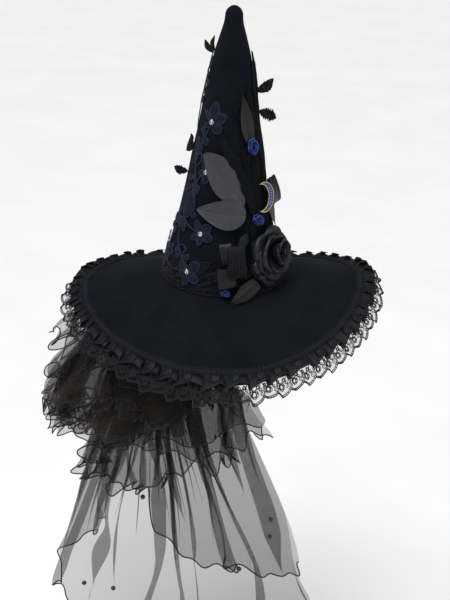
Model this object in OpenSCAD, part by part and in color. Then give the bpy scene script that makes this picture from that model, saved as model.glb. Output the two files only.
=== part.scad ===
// Witch hat: a tall felt cone on a wide drooping brim, trimmed with lace,
// appliques, leaves, a rose and a moon, with a tulle veil below the brim.
// Frame: origin at the centre of the head opening, where crown and brim meet.
// +Z runs up the crown, +X to the wearer's front, +Y to the wearer's left.

/* [Head] */
// Radius of the head opening, inside the sweatband
head_r = 89; // [80:0.5:105]
// Thickness of the sweatband
band_t = 1.2; // [0.8:0.1:2]
// Height of the sweatband above the base of the crown
band_up = 12; // [8:1:20]

/* [Crown] */
// Height of the crown above the brim
crown_h = 415; // [300:5:500]
// Thickness of the crown felt
felt_t = 3; // [2:0.25:4]
// Ledge of brim between the head opening and the outside of the crown
crown_ledge = 8.5; // [6:0.5:14]
// Height of the lace band around the foot of the crown
lace_band_h = 58; // [20:1:80]

/* [Brim] */
// Radius of the felt brim
brim_r = 229; // [180:1:280]
// Drop of the brim edge on the wearer's right
drop_right = 67; // [30:1:90]
// Drop of the brim edge on the wearer's left
drop_left = 72; // [30:1:90]
// Drop of the brim edge at the back
drop_back = 35; // [10:1:60]
// Diameter of the wire in the brim edge
wire_d = 1.6; // [1:0.1:2]
// Width of the pleated ribbon around the edge
ruffle_w = 20; // [12:1:30]
// Width of the scalloped lace that shows beyond the edge
lace_w = 27; // [15:1:35]

/* [Trims] */
// Diameter of the satin rose
rose_d = 86; // [50:1:96]
// Length of the largest satin leaf
leaf_l = 98; // [60:1:110]
// Width of the largest satin leaf
leaf_w = 40; // [25:1:48]
// Height of the crescent moon
moon_h = 46; // [30:1:56]
// Length of the largest rosebud
bud_l = 26; // [14:0.5:30]
// Diameter of a crystal
stone_d = 6; // [4:0.5:8]

/* [Veil] */
// Length of the longest veil tier below the opening
veil_l = 575; // [400:5:700]
// Thickness of each tier of gathered tulle
tulle_t = 3; // [1.5:0.5:4]
// Space between the tiers of the veil
tier_gap = 5; // [4:0.5:8]
// Diameter of a veil bead
bead_d = 8; // [5:0.5:10]

/* [Hidden] */
$fn = 64;

// Clearance between pieces that are sewn one on the other
gap = 0.3;
// Crown: outline as shares of its height and of its base radius
crown_r = head_r + crown_ledge;
CROWN = [[0, 1], [0.029, 0.966], [0.072, 0.918], [0.145, 0.841], [0.241, 0.738],
    [0.361, 0.636], [0.482, 0.549], [0.581, 0.472], [0.723, 0.374], [0.843, 0.267],
    [0.92, 0.174], [0.949, 0.147], [0.976, 0.13], [0.99, 0.095], [0.998, 0.045], [1, 0]];
crown_shell_top = 0.949;
tip_t = 12;
lining_t = 1;
lining_top = 0.8;
// Brim: layers from the top down, and the rings that all layers share
STEPS = 72;
brim_bend = 0.874;
side_reach = 1.65;
interlining_t = 2;
facing_t = 1.5;
layer_gap = 0.3;
hole_r = head_r + band_t + gap;
edge_margin = 7;
felt_low = -felt_t;
// Thickness of leaves and appliques, and the height above the felt where loose trims start
leaf_t = 0.8;
applique_t = 1.2;
trim_out = 3.2;
leaf_out = trim_out + 2.8;
// Shares of the large leaf that the other leaves have
low_leaf_l = leaf_l * 0.76;
low_leaf_w = leaf_w * 1.12;
right_leaf_w = leaf_w * 0.7;
upright_leaf_l = leaf_l * 0.8;
upright_leaf_w = leaf_w * 0.45;
wire_z = felt_low - layer_gap - interlining_t / 2;
facing_top = felt_low - interlining_t - 2 * layer_gap;
facing_low = facing_top - facing_t;
binding_t = 0.6;
RINGS = [for (s = [0, 0.04, 0.13, 0.3, 0.5, 0.7, 0.85, 1]) crown_r + s * (brim_r - crown_r)];
// Veil: where the tiers hang, and how they spread towards the hem
veil_top = -38;
gather_r = 104;
band_drop = 13;
tier_pitch = tulle_t + tier_gap;
hem_d = 3;
hem_drop = 5;

function crown_at(z) = crown_r * lookup(z / crown_h, CROWN);
function crown_lean(z) = atan((crown_at(z - 5) - crown_at(z + 5)) / 10);

// Height of the top of the brim: straight out, then bending down, most at the sides
function brim_curve(r) = pow(max(0, (r - crown_r) / (brim_r - crown_r)), brim_bend);
LIFT = [for (r = concat(RINGS, [brim_r + 40])) [r, brim_curve(r)]];
function side_share(az) = pow(abs(sin(az)), side_reach);
function edge_drop(az) =
    let (side = sin(az) < 0 ? drop_right : drop_left, end = cos(az) > 0 ? 0 : drop_back)
    end * (1 - side_share(az)) + side * side_share(az);
function brim_z(r, az) = r <= crown_r ? 0 : -edge_drop(az) * lookup(r, LIFT);

// Point of a section; its height is above the brim at its own radius, or at a given one
function brim_point(p, az, level = 0) =
    [p[0] * cos(az), p[0] * sin(az), brim_z(level > 0 ? level : p[0], az) + p[1]];

// Solid made by carrying a section of [radius, height above brim] round the brim
module brim_sweep(section, az0 = 0, az1 = 360, steps = STEPS, level = 0) {
    k = len(section);
    ring = az1 - az0 >= 360;
    rows = ring ? steps : steps + 1;
    points = [for (i = [0:rows - 1]) for (p = section)
        brim_point(p, az0 + (az1 - az0) * i / steps, level)];
    sides = [for (i = [0:steps - 1]) for (j = [0:k - 1])
        let (a = i * k, b = ((i + 1) % rows) * k, n = (j + 1) % k)
        each section[j][0] <= section[n][0]
            ? [[a + j, a + n, b + n], [a + j, b + n, b + j]]
            : [[a + j, a + n, b + j], [a + n, b + n, b + j]]];
    caps = ring ? [] : [[for (j = [k - 1:-1:0]) j], [for (j = [0:k - 1]) steps * k + j]];
    polyhedron(points, concat(sides, caps), convexity = 6);
}

// Section of one brim layer, from r0 to r1, following the shared rings
function layer(r0, r1, top, low) =
    let (rs = concat([r0], [for (r = RINGS) if (r > r0 + 0.5 && r < r1 - 0.5) r], [r1]))
    concat([for (r = rs) [r, low]], [for (i = [len(rs) - 1:-1:0]) [rs[i], top]]);

function box_section(r0, r1, low, high) = [[r0, low], [r1, low], [r1, high], [r0, high]];

// Puts a child on the crown: its x runs round to the right, its y up, its z outward
module on_crown(az, z, out = gap) {
    rotate([0, 0, az]) translate([crown_at(z), 0, z])
        rotate([0, 90 - crown_lean(z), 0]) rotate([0, 0, 90]) translate([0, 0, out]) children();
}

// Shell that hugs the crown between two heights and two azimuths
module crown_patch(az0, az1, z0, z1, out, t) {
    heights = concat([z0], [for (p = CROWN) if (p[0] * crown_h > z0 + 1 && p[0] * crown_h < z1 - 1)
        p[0] * crown_h], [z1]);
    last = len(heights) - 1;
    rotate([0, 0, az0]) rotate_extrude(angle = az1 - az0) polygon(concat(
        [for (z = heights) [crown_at(z) + out, z]],
        [for (i = [last:-1:0]) [crown_at(heights[i]) + out + t, heights[i]]]));
}

// Pointed leaf outline along x, from its stem at the origin
module leaf_outline(l, w) {
    r = (l * l + w * w) / (4 * w);
    translate([l / 2, 0]) intersection() {
        translate([0, r - w / 2]) circle(r, $fn = 200);
        translate([0, w / 2 - r]) circle(r, $fn = 200);
    }
}

// Cuts a flat outline out of a shell round the crown, so that it lies against the felt
module hug(az, z, reach, out, t) {
    intersection() {
        crown_patch(az - 75, az + 75, max(gap, z - reach), z + reach, out, t);
        on_crown(az, z, -25) linear_extrude(60) children();
    }
}

// Leaf that lies on the crown, with its middle at an azimuth and a height
module leaf(az, z, out, turn, l, w) {
    hug(az, z, l, out, leaf_t) rotate(turn) translate([-l / 2, 0]) leaf_outline(l, w);
}

// ---- Crown ----

module crown_felt() {
    wall = [for (p = CROWN) if (p[0] <= crown_shell_top) p];
    last = len(wall) - 1;
    color([0.07, 0.08, 0.11]) rotate_extrude() polygon(concat(
        [for (p = CROWN) [crown_r * p[1], crown_h * p[0]]],
        [[0, crown_h - tip_t]],
        [for (i = [last:-1:0])
            [crown_r * wall[i][1] - felt_t, crown_h * wall[i][0] - (i == last ? 2 : 0)]]));
}

module crown_lining() {
    inset = felt_t + 4 * gap;
    zs = concat([band_up + 1], [for (p = CROWN) if (p[0] * crown_h > band_up + 6 && p[0] <= lining_top)
        p[0] * crown_h]);
    last = len(zs) - 1;
    color([0.1, 0.1, 0.12]) rotate_extrude() polygon(concat(
        [for (z = zs) [crown_at(z) - inset, z]], [[0, zs[last]], [0, zs[last] - lining_t]],
        [for (i = [last:-1:0])
            [crown_at(zs[i]) - inset - lining_t, zs[i] - (i == last ? lining_t : 0)]]));
}

module sweatband() {
    color([0.12, 0.12, 0.13]) translate([0, 0, facing_low]) difference() {
        cylinder(r = head_r + band_t, h = band_up - facing_low);
        translate([0, 0, -1]) cylinder(r = head_r, h = band_up - facing_low + 2);
    }
}

module crown_base_lace() {
    color([0.09, 0.1, 0.14]) crown_patch(0, 360, gap, lace_band_h, gap, 1);
}

// ---- Brim ----

module brim_felt() {
    color([0.07, 0.08, 0.11]) brim_sweep(layer(hole_r, brim_r, 0, felt_low));
}

module brim_interlining() {
    top = felt_low - layer_gap;
    color([0.2, 0.2, 0.2])
        brim_sweep(layer(crown_r - 2, brim_r - edge_margin, top, top - interlining_t));
}

module brim_facing() {
    color([0.08, 0.08, 0.1]) brim_sweep(layer(hole_r, brim_r, facing_top, facing_low));
}

wire_r = brim_r - edge_margin / 2;
ferrule_l = 12;

module brim_wire() {
    color("silver") brim_sweep(level = wire_r, section = [for (a = [0:60:300])
        [wire_r + wire_d / 2 * cos(a), wire_z + wire_d / 2 * sin(a)]]);
}

module wire_ferrule() {
    p = brim_point([wire_r, wire_z], 180);
    q = brim_point([wire_r, wire_z], 180 + 360 / STEPS);
    d = q - p;
    color("silver") translate((p + q) / 2) rotate([0, acos(d[2] / norm(d)), atan2(d[1], d[0])])
        difference() {
            cylinder(d = wire_d + 0.8, h = ferrule_l, center = true);
            cylinder(d = wire_d + 0.45, h = ferrule_l + 2, center = true);
        }
}

module edge_binding() {
    r0 = brim_r - edge_margin;
    r1 = brim_r + gap;
    low = facing_low - layer_gap;
    color([0.1, 0.1, 0.12]) brim_sweep([[r0, layer_gap], [r1, layer_gap], [r1, low], [r0, low],
        [r0, low - binding_t], [r1 + binding_t, low - binding_t],
        [r1 + binding_t, layer_gap + binding_t], [r0, layer_gap + binding_t]]);
}

module ruffle_heading() {
    r1 = brim_r - edge_margin - 2 * gap;
    color([0.05, 0.05, 0.06]) brim_sweep(box_section(r1 - 7, r1, gap, 5));
}

module ruffle_ribbon() {
    r0 = brim_r - edge_margin;
    color([0.16, 0.16, 0.18]) brim_sweep(box_section(r0, r0 + ruffle_w, 1.2, 9));
}

module lace_edging() {
    r0 = brim_r + 3 * gap + binding_t;
    color([0.05, 0.05, 0.06])
        brim_sweep([[r0, -5], [r0 + lace_w, -10], [r0 + lace_w, -5], [r0, 0]]);
}

// ---- Lace appliques and their crystals ----

// Each motif: [azimuth, height, [[direction, length, width] of each petal]]
UPPER = [[-124, 254, [[85, 30, 14], [30, 23, 14], [-45, 20, 14], [140, 22, 7], [215, 18, 7]]],
    [-141, 222, [[190, 15, 12], [15, 13, 10], [260, 18, 9]]]];
MIDDLE = [[-122, 181, [[110, 20, 9], [200, 14, 8], [-95, 18, 10], [-30, 12, 8]]],
    [-139, 152, [[18, 10, 7], [90, 10, 7], [162, 10, 7], [234, 10, 7], [306, 10, 7]]]];
LOWER = [[-118, 90, [[125, 22, 10], [50, 20, 13], [-20, 20, 12], [215, 20, 8], [265, 18, 9]]],
    [-148, 100, [[88, 38, 20], [200, 18, 9], [-70, 20, 9]]]];
BASE = [[-126, 30, [[45, 24, 15], [-35, 24, 12], [-95, 22, 11], [150, 22, 12], [-150, 18, 9]]]];
BACK_LOW = [[-170, 36, [[70, 22, 12], [140, 20, 10], [0, 20, 12], [-60, 20, 10], [-130, 20, 10]]],
    [-168, 84, [[90, 20, 10], [200, 16, 8], [-40, 16, 9]]]];
BACK_TOP = [[-174, 322, [[80, 18, 9], [170, 12, 7], [-60, 14, 8]]],
    [178, 282, [[100, 18, 9], [-20, 14, 8], [-100, 15, 8]]]];
STONES = [UPPER[0], MIDDLE[0], LOWER[0], BASE[0], BACK_LOW[0]];

// The lowest motifs lie on the lace band as well as on the felt
function over_lace(z) = z < lace_band_h + 45 ? 1 + 3 * gap : 2 * gap;

module spray(motifs) {
    color([0.11, 0.15, 0.25]) for (m = motifs) hug(m[0], m[1], 50, over_lace(m[1]), applique_t) {
        circle(3.5);
        for (p = m[2]) rotate(p[0]) leaf_outline(p[1], p[2]);
    }
}

module applique_upper() { spray(UPPER); }
module applique_middle() { spray(MIDDLE); }
module applique_lower() { spray(LOWER); }
module applique_base() { spray(BASE); }
module applique_back_low() { spray(BACK_LOW); }
module applique_back_top() { spray(BACK_TOP); }

module on_stones() {
    for (m = STONES) on_crown(m[0], m[1], over_lace(m[1]) + applique_t + 0.5) children();
}

module rhinestones() {
    color("white") on_stones() translate([0, 0, 0.8])
        cylinder(d1 = stone_d, d2 = stone_d * 0.6, h = 2);
}

module rhinestone_settings() {
    color("gold") on_stones() difference() {
        cylinder(d = stone_d + 1.6, h = 1.6);
        translate([0, 0, 0.6]) cylinder(d = stone_d + 0.2, h = 2);
    }
}

// ---- Leaves ----

module leaf_large_upper() {
    color([0.25, 0.25, 0.27]) leaf(-97, 172, leaf_out, 132, leaf_l, leaf_w);
}

module leaf_large_lower() {
    color([0.25, 0.25, 0.27]) leaf(-97, 124, leaf_out + leaf_t + 2 * gap, 176, low_leaf_l, low_leaf_w);
}

module leaf_right_satin() {
    color([0.25, 0.25, 0.27]) leaf(-16, 124, leaf_out, 100, low_leaf_l, right_leaf_w);
}

module leaf_upright() {
    color([0.08, 0.08, 0.09]) leaf(-62, 252, leaf_out, 97, upright_leaf_l, upright_leaf_w);
}

module leaf_left_round() {
    color([0.07, 0.07, 0.08]) leaf(178, 209, trim_out, 75, 26, 17);
}

module leaf_left_pointed() {
    color([0.07, 0.07, 0.08]) on_crown(-176, 166, 2.5) rotate([0, 60, 0]) rotate([0, 0, 180])
        linear_extrude(leaf_t) leaf_outline(22, 12);
}

module leaf_right_upper() {
    color([0.07, 0.07, 0.08]) on_crown(2, 292, 2.5) rotate([0, -50, 0]) rotate([0, 0, 14])
        linear_extrude(leaf_t) leaf_outline(36, 15);
}

module leaf_right_feathered() {
    color([0.07, 0.07, 0.08]) on_crown(4, 262, 2.5) rotate([0, -55, 0]) rotate([0, 0, -32])
        linear_extrude(leaf_t) leaf_outline(36, 15);
}

module leaf_top_pair() {
    color([0.07, 0.07, 0.08]) {
        leaf(-170, 362, trim_out, 112, 24, 9);
        leaf(168, 352, trim_out, 80, 22, 9);
    }
}

// ---- Garland, moon and rosebuds ----

module garland_drape() {
    color([0.06, 0.06, 0.07]) crown_patch(-66, -14, lace_band_h + 2, 300, gap, trim_out - 2 * gap);
}

moon_r = moon_h / 2;
module crescent(inset) {
    difference() {
        circle(moon_r - inset);
        translate([-moon_r * 0.42, 0]) circle(moon_r * 0.86 + inset);
    }
}

MOON = [-39, 143, 8];
module at_moon() { on_crown(MOON[0], MOON[1], MOON[2]) rotate([0, 0, -8]) children(); }

module moon_frame() {
    color("gold") at_moon() difference() {
        linear_extrude(2.4) crescent(0);
        translate([0, 0, 0.8]) linear_extrude(3) crescent(1.3);
    }
}

module moon_enamel() {
    color([0.05, 0.1, 0.5]) at_moon() translate([0, 0, 0.9]) linear_extrude(1) crescent(1.5);
}

module moon_stones() {
    color("white") at_moon() for (a = [-45:15:45]) rotate([0, 0, a])
        translate([moon_r * 0.76, 0, 2]) cylinder(d = 1.8, h = 0.9);
}

// The two lower buds are smaller than the upper one
middle_bud_l = bud_l * 0.85;
lower_bud_l = bud_l * 0.6;

module rosebud(az, z, out, turn, l) {
    r = l * 0.33;
    color([0.13, 0.25, 0.65]) on_crown(az, z, out + r) rotate([0, 0, turn]) rotate([-90, 0, 0])
        rotate_extrude() polygon([[0, -l / 2], [r * 0.6, -l * 0.4], [r, -l * 0.12],
            [r * 0.9, l * 0.15], [r * 0.45, l * 0.38], [0, l / 2]]);
}

module rosebud_upper() { rosebud(-55, 222, trim_out + 5, 10, bud_l); }
module rosebud_middle() { rosebud(-53, 113, trim_out + 3, 60, middle_bud_l); }
module rosebud_lower() { rosebud(-88, 8, trim_out + 3, 80, lower_bud_l); }

// ---- Rose ----

ROSE = [-38, 56, 4];
rose_r = rose_d / 2;
petal_t = 1.2;

module at_rose() { on_crown(ROSE[0], ROSE[1], ROSE[2]) children(); }

// One turn of petals: each is a piece of a flared cup
module petals(n, r0, r1, low, high, turn) {
    share = 360 / n;
    for (i = [0:n - 1]) rotate([0, 0, turn + i * share]) rotate_extrude(angle = share - 8)
        polygon([[r0, low], [r0 + petal_t, low], [r1, high], [r1 - petal_t, high]]);
}

module rose_core() {
    color([0.09, 0.09, 0.1]) at_rose() translate([0, 0, 4.3]) rotate_extrude()
        polygon([[0, 0], [5, 0], [7, 12], [6, 22], [2, 24], [0, 24]]);
}

module rose_inner_petals() {
    color([0.11, 0.11, 0.12]) at_rose() petals(3, 8.5, 13, 4.3, 26, 10);
}

module rose_middle_petals() {
    color([0.12, 0.12, 0.13]) at_rose() petals(4, 13, rose_r * 0.55, 4.3, 22, 40);
}

module rose_outer_petals() {
    color([0.13, 0.13, 0.14]) at_rose() petals(5, 17, rose_r, 4.3, 13, 0);
}

module rose_base() {
    color([0.06, 0.06, 0.07]) at_rose() cylinder(r = 21, h = 4);
}

// ---- Bow ----

// Flat loop of ribbon: its fold points along x, its width along y
module ribbon_loop(l, deep, w, t = 0.9) {
    rotate([90, 0, 0]) linear_extrude(w, center = true) difference() {
        leaf_outline(l, deep);
        translate([2.2 * t, 0]) leaf_outline(l - 4.4 * t, deep - 2 * t);
    }
}

module bow_loop_upper() {
    color([0.2, 0.2, 0.22]) on_crown(-87, 51, 11) rotate([0, 0, 98]) ribbon_loop(32, 12, 18);
}

module bow_loop_lace() {
    color([0.1, 0.11, 0.15]) on_crown(-79, 33, 23) rotate([0, 0, 93]) ribbon_loop(48, 10, 24);
}

module bow_loop_lower() {
    color([0.2, 0.2, 0.22]) on_crown(-79, 32, 11) rotate([0, 0, 183]) ribbon_loop(28, 12, 30);
}

module bow_knot() {
    color([0.16, 0.16, 0.18]) on_crown(-72, 44, 11) translate([0, 0, -3.5])
        cube([13, 7, 7], center = true);
}

module ribbon_tail() {
    color([0.22, 0.2, 0.2]) on_crown(-59, 17, 5.5) rotate([0, 0, 208]) translate([0, -10, 0])
        cube([44, 18, 0.8]);
}

module right_ribbon_loop() {
    color([0.1, 0.1, 0.11]) on_crown(-8, 150, 14.5) rotate([0, 0, -70]) translate([-20, 0, 0])
        ribbon_loop(42, 14, 18);
}

// ---- Veil ----

module veil_band() {
    low = facing_low - gap;
    color([0.04, 0.04, 0.05])
        brim_sweep(box_section(gather_r - 3, gather_r + 4, low - band_drop, low), 170, 250, 16);
}

// Azimuths of the far and the near edge of the veil at a height
function far_edge(z) = lookup(-z, [[0, 170], [150, 165], [veil_l, 150]]);
function near_edge(z) = lookup(-z, [[0, 244], [-veil_top, 250], [150, 298], [300, 306], [veil_l, 326]]);
function spread(az) = 50 + 120 * pow(max(0, cos(az - 195)), 2) + 60 * pow(max(0, cos(az - 330)), 2);
function veil_r(az, z) = gather_r + spread(az) * pow((veil_top - z) / (veil_top + veil_l), 0.8);

function veil_point(az, z, out) =
    [(veil_r(az, z) + out) * cos(az), (veil_r(az, z) + out) * sin(az), z];

// Hem heights of the tiers along the azimuth
function hem_lower(az) = -veil_l + 12 * cos(3 * az);
function hem_middle(az) = lookup(az, [[150, -400], [200, -345], [235, -315], [262, -372],
    [284, -480], [326, -505]]);
function hem_upper(az) = lookup(az, [[150, -270], [195, -255], [240, -310], [290, -240], [326, -225]]);
function hem_pouf(az) = -185 - 20 * cos(4 * az);

// Middle of the veil, which narrower tiers share
veil_mid = 210;
U_STEPS = 32;
V_STEPS = 8;
function across(z, u, wide) =
    veil_mid + (far_edge(z) + u * (near_edge(z) - far_edge(z)) - veil_mid) * wide;

// Point of a tier: u runs across it and v down it, out of its own surface
function tier_point(layer_no, hem, wide, u, v, out) = let (
    low = hem(across(hem(veil_mid), u, wide)),
    z = veil_top + (low - veil_top) * v)
    veil_point(across(z, u, wide), z, layer_no * tier_pitch + out);

// Thick sheet hanging from the gathers
module tier(layer_no, hem, wide) {
    rows = V_STEPS + 1;
    points = [for (out = [0, tulle_t]) for (i = [0:U_STEPS]) for (j = [0:V_STEPS])
        tier_point(layer_no, hem, wide, i / U_STEPS, j / V_STEPS, out)];
    n = len(points) / 2;
    inner = [for (i = [0:U_STEPS - 1]) for (j = [0:V_STEPS - 1]) let (a = i * rows + j, b = a + rows)
        each [[a, a + 1, b + 1], [a, b + 1, b]]];
    outer = [for (f = inner) [f[2] + n, f[1] + n, f[0] + n]];
    rim = concat([for (i = [0:U_STEPS - 1]) i * rows],
        [for (j = [0:V_STEPS - 1]) U_STEPS * rows + j],
        [for (i = [U_STEPS:-1:1]) i * rows + V_STEPS],
        [for (j = [V_STEPS:-1:1]) j]);
    m = len(rim);
    edge = [for (k = [0:m - 1]) let (a = rim[k], b = rim[(k + 1) % m])
        each [[a, b, b + n], [a, b + n, a + n]]];
    polyhedron(points, concat(inner, outer, edge), convexity = 8);
}

// Rolled hem: a round cord just below the edge of a tier
module hem_cord(layer_no, hem, wide, sides = 5) {
    points = [for (i = [0:U_STEPS]) let (u = i / U_STEPS, az = across(hem(veil_mid), u, wide),
        p = tier_point(layer_no, hem, wide, u, 1, tulle_t / 2)) for (j = [0:sides - 1])
        let (a = j * 360 / sides, c = hem_d / 2 * cos(a))
        [p[0] + c * cos(az), p[1] + c * sin(az), p[2] - hem_drop + hem_d / 2 * sin(a)]];
    faces = concat(
        [for (i = [0:U_STEPS - 1]) for (j = [0:sides - 1])
            let (a = i * sides, b = a + sides, k = (j + 1) % sides)
            each [[a + j, a + k, b + k], [a + j, b + k, b + j]]],
        [[for (j = [sides - 1:-1:0]) j], [for (j = [0:sides - 1]) U_STEPS * sides + j]]);
    polyhedron(points, faces, convexity = 4);
}

veil_colour = [0.25, 0.24, 0.24];
// Shares of the veil's spread that the shorter tiers have
middle_share = 0.96;
upper_share = 0.9;
pouf_share = 0.75;
lower_hem = function (az) hem_lower(az);
middle_hem = function (az) hem_middle(az);
upper_hem = function (az) hem_upper(az);
pouf_hem = function (az) hem_pouf(az);

module veil_tier_lower() { color(veil_colour) tier(0, lower_hem, 1); }
module veil_tier_middle() { color(veil_colour) tier(1, middle_hem, middle_share); }
module veil_tier_upper() { color(veil_colour) tier(2, upper_hem, upper_share); }
module veil_pouf() { color(veil_colour) tier(3, pouf_hem, pouf_share); }

module veil_hem_lower() { color("black") hem_cord(0, lower_hem, 1); }
module veil_hem_middle() { color("black") hem_cord(1, middle_hem, middle_share); }
module veil_hem_upper() { color("black") hem_cord(2, upper_hem, upper_share); }

// Beads sewn on the outside of the veil: [azimuth, height]
BEADS = [[227, -506], [301, -366], [300, -396], [284, -446], [214, -522], [233, -334],
    [247, -540], [205, -205], [203, -245]];

module veil_beads() {
    color("black") for (b = BEADS)
        translate(veil_point(b[0], b[1], 3 * tier_pitch + tulle_t + bead_d / 2 + 1)) sphere(d = bead_d);
}

crown_felt();
crown_lining();
sweatband();
crown_base_lace();
brim_felt();
brim_interlining();
brim_facing();
brim_wire();
wire_ferrule();
edge_binding();
ruffle_heading();
ruffle_ribbon();
lace_edging();
applique_upper();
applique_middle();
applique_lower();
applique_base();
applique_back_low();
applique_back_top();
rhinestones();
rhinestone_settings();
leaf_large_upper();
leaf_large_lower();
leaf_right_satin();
leaf_upright();
leaf_left_round();
leaf_left_pointed();
leaf_right_upper();
leaf_right_feathered();
leaf_top_pair();
garland_drape();
moon_frame();
moon_enamel();
moon_stones();
rosebud_upper();
rosebud_middle();
rosebud_lower();
rose_core();
rose_inner_petals();
rose_middle_petals();
rose_outer_petals();
rose_base();
bow_loop_upper();
bow_loop_lace();
bow_loop_lower();
bow_knot();
ribbon_tail();
right_ribbon_loop();
veil_band();
veil_tier_lower();
veil_tier_middle();
veil_tier_upper();
veil_pouf();
veil_hem_lower();
veil_hem_middle();
veil_hem_upper();
veil_beads();
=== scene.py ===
import bpy
import numpy as np
from mathutils import Matrix, Vector
from numpy import (arange, array, asarray, clip, cos, exp, hypot, interp, linspace, maximum, minimum,
                   pi, radians, sin, vstack)


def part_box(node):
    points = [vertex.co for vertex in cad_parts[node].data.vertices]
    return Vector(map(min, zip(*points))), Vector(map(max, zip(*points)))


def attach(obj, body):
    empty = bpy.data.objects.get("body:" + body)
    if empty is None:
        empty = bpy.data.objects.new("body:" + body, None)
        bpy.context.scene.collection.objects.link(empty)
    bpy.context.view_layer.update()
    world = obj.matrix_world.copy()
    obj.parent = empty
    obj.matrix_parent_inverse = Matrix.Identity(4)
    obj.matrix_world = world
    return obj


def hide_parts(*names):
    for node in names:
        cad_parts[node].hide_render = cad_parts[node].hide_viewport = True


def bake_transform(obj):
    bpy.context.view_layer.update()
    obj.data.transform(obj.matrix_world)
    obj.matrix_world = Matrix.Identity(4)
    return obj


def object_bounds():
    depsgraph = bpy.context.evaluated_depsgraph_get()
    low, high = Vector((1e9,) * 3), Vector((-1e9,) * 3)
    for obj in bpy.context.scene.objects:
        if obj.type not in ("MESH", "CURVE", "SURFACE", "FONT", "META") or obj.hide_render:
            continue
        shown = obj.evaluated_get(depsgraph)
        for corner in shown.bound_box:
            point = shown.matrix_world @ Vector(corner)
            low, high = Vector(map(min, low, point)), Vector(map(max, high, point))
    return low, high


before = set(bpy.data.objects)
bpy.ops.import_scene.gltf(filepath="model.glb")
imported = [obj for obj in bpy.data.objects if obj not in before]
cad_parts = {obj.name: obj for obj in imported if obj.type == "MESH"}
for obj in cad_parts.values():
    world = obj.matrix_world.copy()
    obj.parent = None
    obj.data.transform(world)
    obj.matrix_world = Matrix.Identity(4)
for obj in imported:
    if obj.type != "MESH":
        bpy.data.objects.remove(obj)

CAD_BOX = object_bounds()
MM = 0.001
TAU = 2 * pi

# ---- camera

CAMERA_AT = Vector((-0.0295, -1.530, 0.7036))
CAMERA_TO = Vector((0.0022, 0.0, -0.0516))
CAMERA_UP = Vector((-0.042, 0.0, 0.999))
LENS, SENSOR, SHIFT_X, CLIP_END = 63.5, 36, 0.0043, 50


def make_camera():
    data = bpy.data.cameras.new("camera")
    cam = bpy.data.objects.new("camera", data)
    bpy.context.collection.objects.link(cam)
    back = (CAMERA_AT - CAMERA_TO).normalized()
    right = CAMERA_UP.cross(back).normalized()
    up = back.cross(right)
    turn = [[right[i], up[i], back[i]] for i in range(3)]
    cam.matrix_world = Matrix([[*turn[i], CAMERA_AT[i]] for i in range(3)] + [[0, 0, 0, 1]])
    data.lens, data.sensor_width = LENS, SENSOR
    data.shift_x, data.clip_end = SHIFT_X, CLIP_END
    bpy.context.scene.camera = cam


make_camera()

# ---- shape of the hat

CROWN_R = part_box("crown_felt")[1].x
CROWN_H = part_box("crown_felt")[1].z
BRIM_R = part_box("brim_felt")[1].x
HOLE_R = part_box("sweatband")[1].x + 0.3 * MM
LACE_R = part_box("lace_edging")[1].x
RIBBON_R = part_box("ruffle_ribbon")[1].x
EDGE_MARGIN = 7 * MM

# Outline of the crown: height and radius, as shares of its height and base radius
CROWN = array([
    (0, 1), (0.029, 0.966), (0.072, 0.918), (0.145, 0.841), (0.241, 0.738), (0.361, 0.636),
    (0.482, 0.549), (0.581, 0.472), (0.723, 0.374), (0.843, 0.267), (0.92, 0.174),
    (0.949, 0.147), (0.976, 0.13), (0.99, 0.095), (0.998, 0.045), (1, 0)])

DROP_RIGHT, DROP_LEFT, DROP_BACK = 67 * MM, 72 * MM, 35 * MM
SIDE_REACH, BRIM_BEND = 1.65, 0.874


def xyz(*parts):
    """Values put together on a last axis, usually x, y and z."""
    return np.stack(np.broadcast_arrays(*parts), -1)


def span(n, m, low=-1):
    """A column of n values from 0 to 1 and a row of m values from low to 1."""
    return linspace(0, 1, n)[:, None], linspace(low, 1, m)[None]


def smooth_path(points, steps=8, closed=False):
    """A smooth curve through the points."""
    p = asarray(points, float)
    if closed:
        p = vstack([p[-1], p, p[0], p[1]])
    else:
        p = vstack([2 * p[0] - p[1], p, 2 * p[-1] - p[-2]])
    t = (arange(steps) / steps)[:, None]
    out = []
    for a, b, c, d in zip(p[:-3], p[1:-2], p[2:-1], p[3:]):
        out.append(0.5 * (2 * b + (c - a) * t + (2 * a - 5 * b + 4 * c - d) * t**2
                          + (3 * b - a - 3 * c + d) * t**3))
    if not closed:
        out.append(p[-2][None])
    return vstack(out)


PROFILE = smooth_path(CROWN * [CROWN_H, CROWN_R], 8)


def crown_r(z):
    return interp(z, PROFILE[:, 0], PROFILE[:, 1])


def crown_lean(z):
    return np.arctan((crown_r(z - 5 * MM) - crown_r(z + 5 * MM)) / (10 * MM))


def wrap(az, z, u, v, h):
    """Points on the crown: u to the right of (az, z), v up the felt, h out of it."""
    u, v, h = np.broadcast_arrays(u, v, h)
    zz = z + v * cos(crown_lean(z))
    lean = crown_lean(zz)
    r = crown_r(zz)
    a = radians(az) + u / maximum(r, 4 * MM)
    r = r + h * cos(lean)
    return xyz(r * cos(a), r * sin(a), zz + h * sin(lean))


def edge_drop(az):
    side = np.where(sin(az) < 0, DROP_RIGHT, DROP_LEFT)
    end = np.where(cos(az) > 0, 0, DROP_BACK)
    share = abs(sin(az)) ** SIDE_REACH
    return end * (1 - share) + side * share


def brim_z(r, az):
    """Height of the top of the brim, with the slight waves of handmade felt."""
    out = maximum(0, (r - CROWN_R) / (BRIM_R - CROWN_R))
    wave = 0.8 * MM * sin(5 * az + 1) + 0.5 * MM * sin(11 * az)
    return -edge_drop(az) * out**BRIM_BEND + wave * minimum(out, 1.1) ** 2


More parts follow.
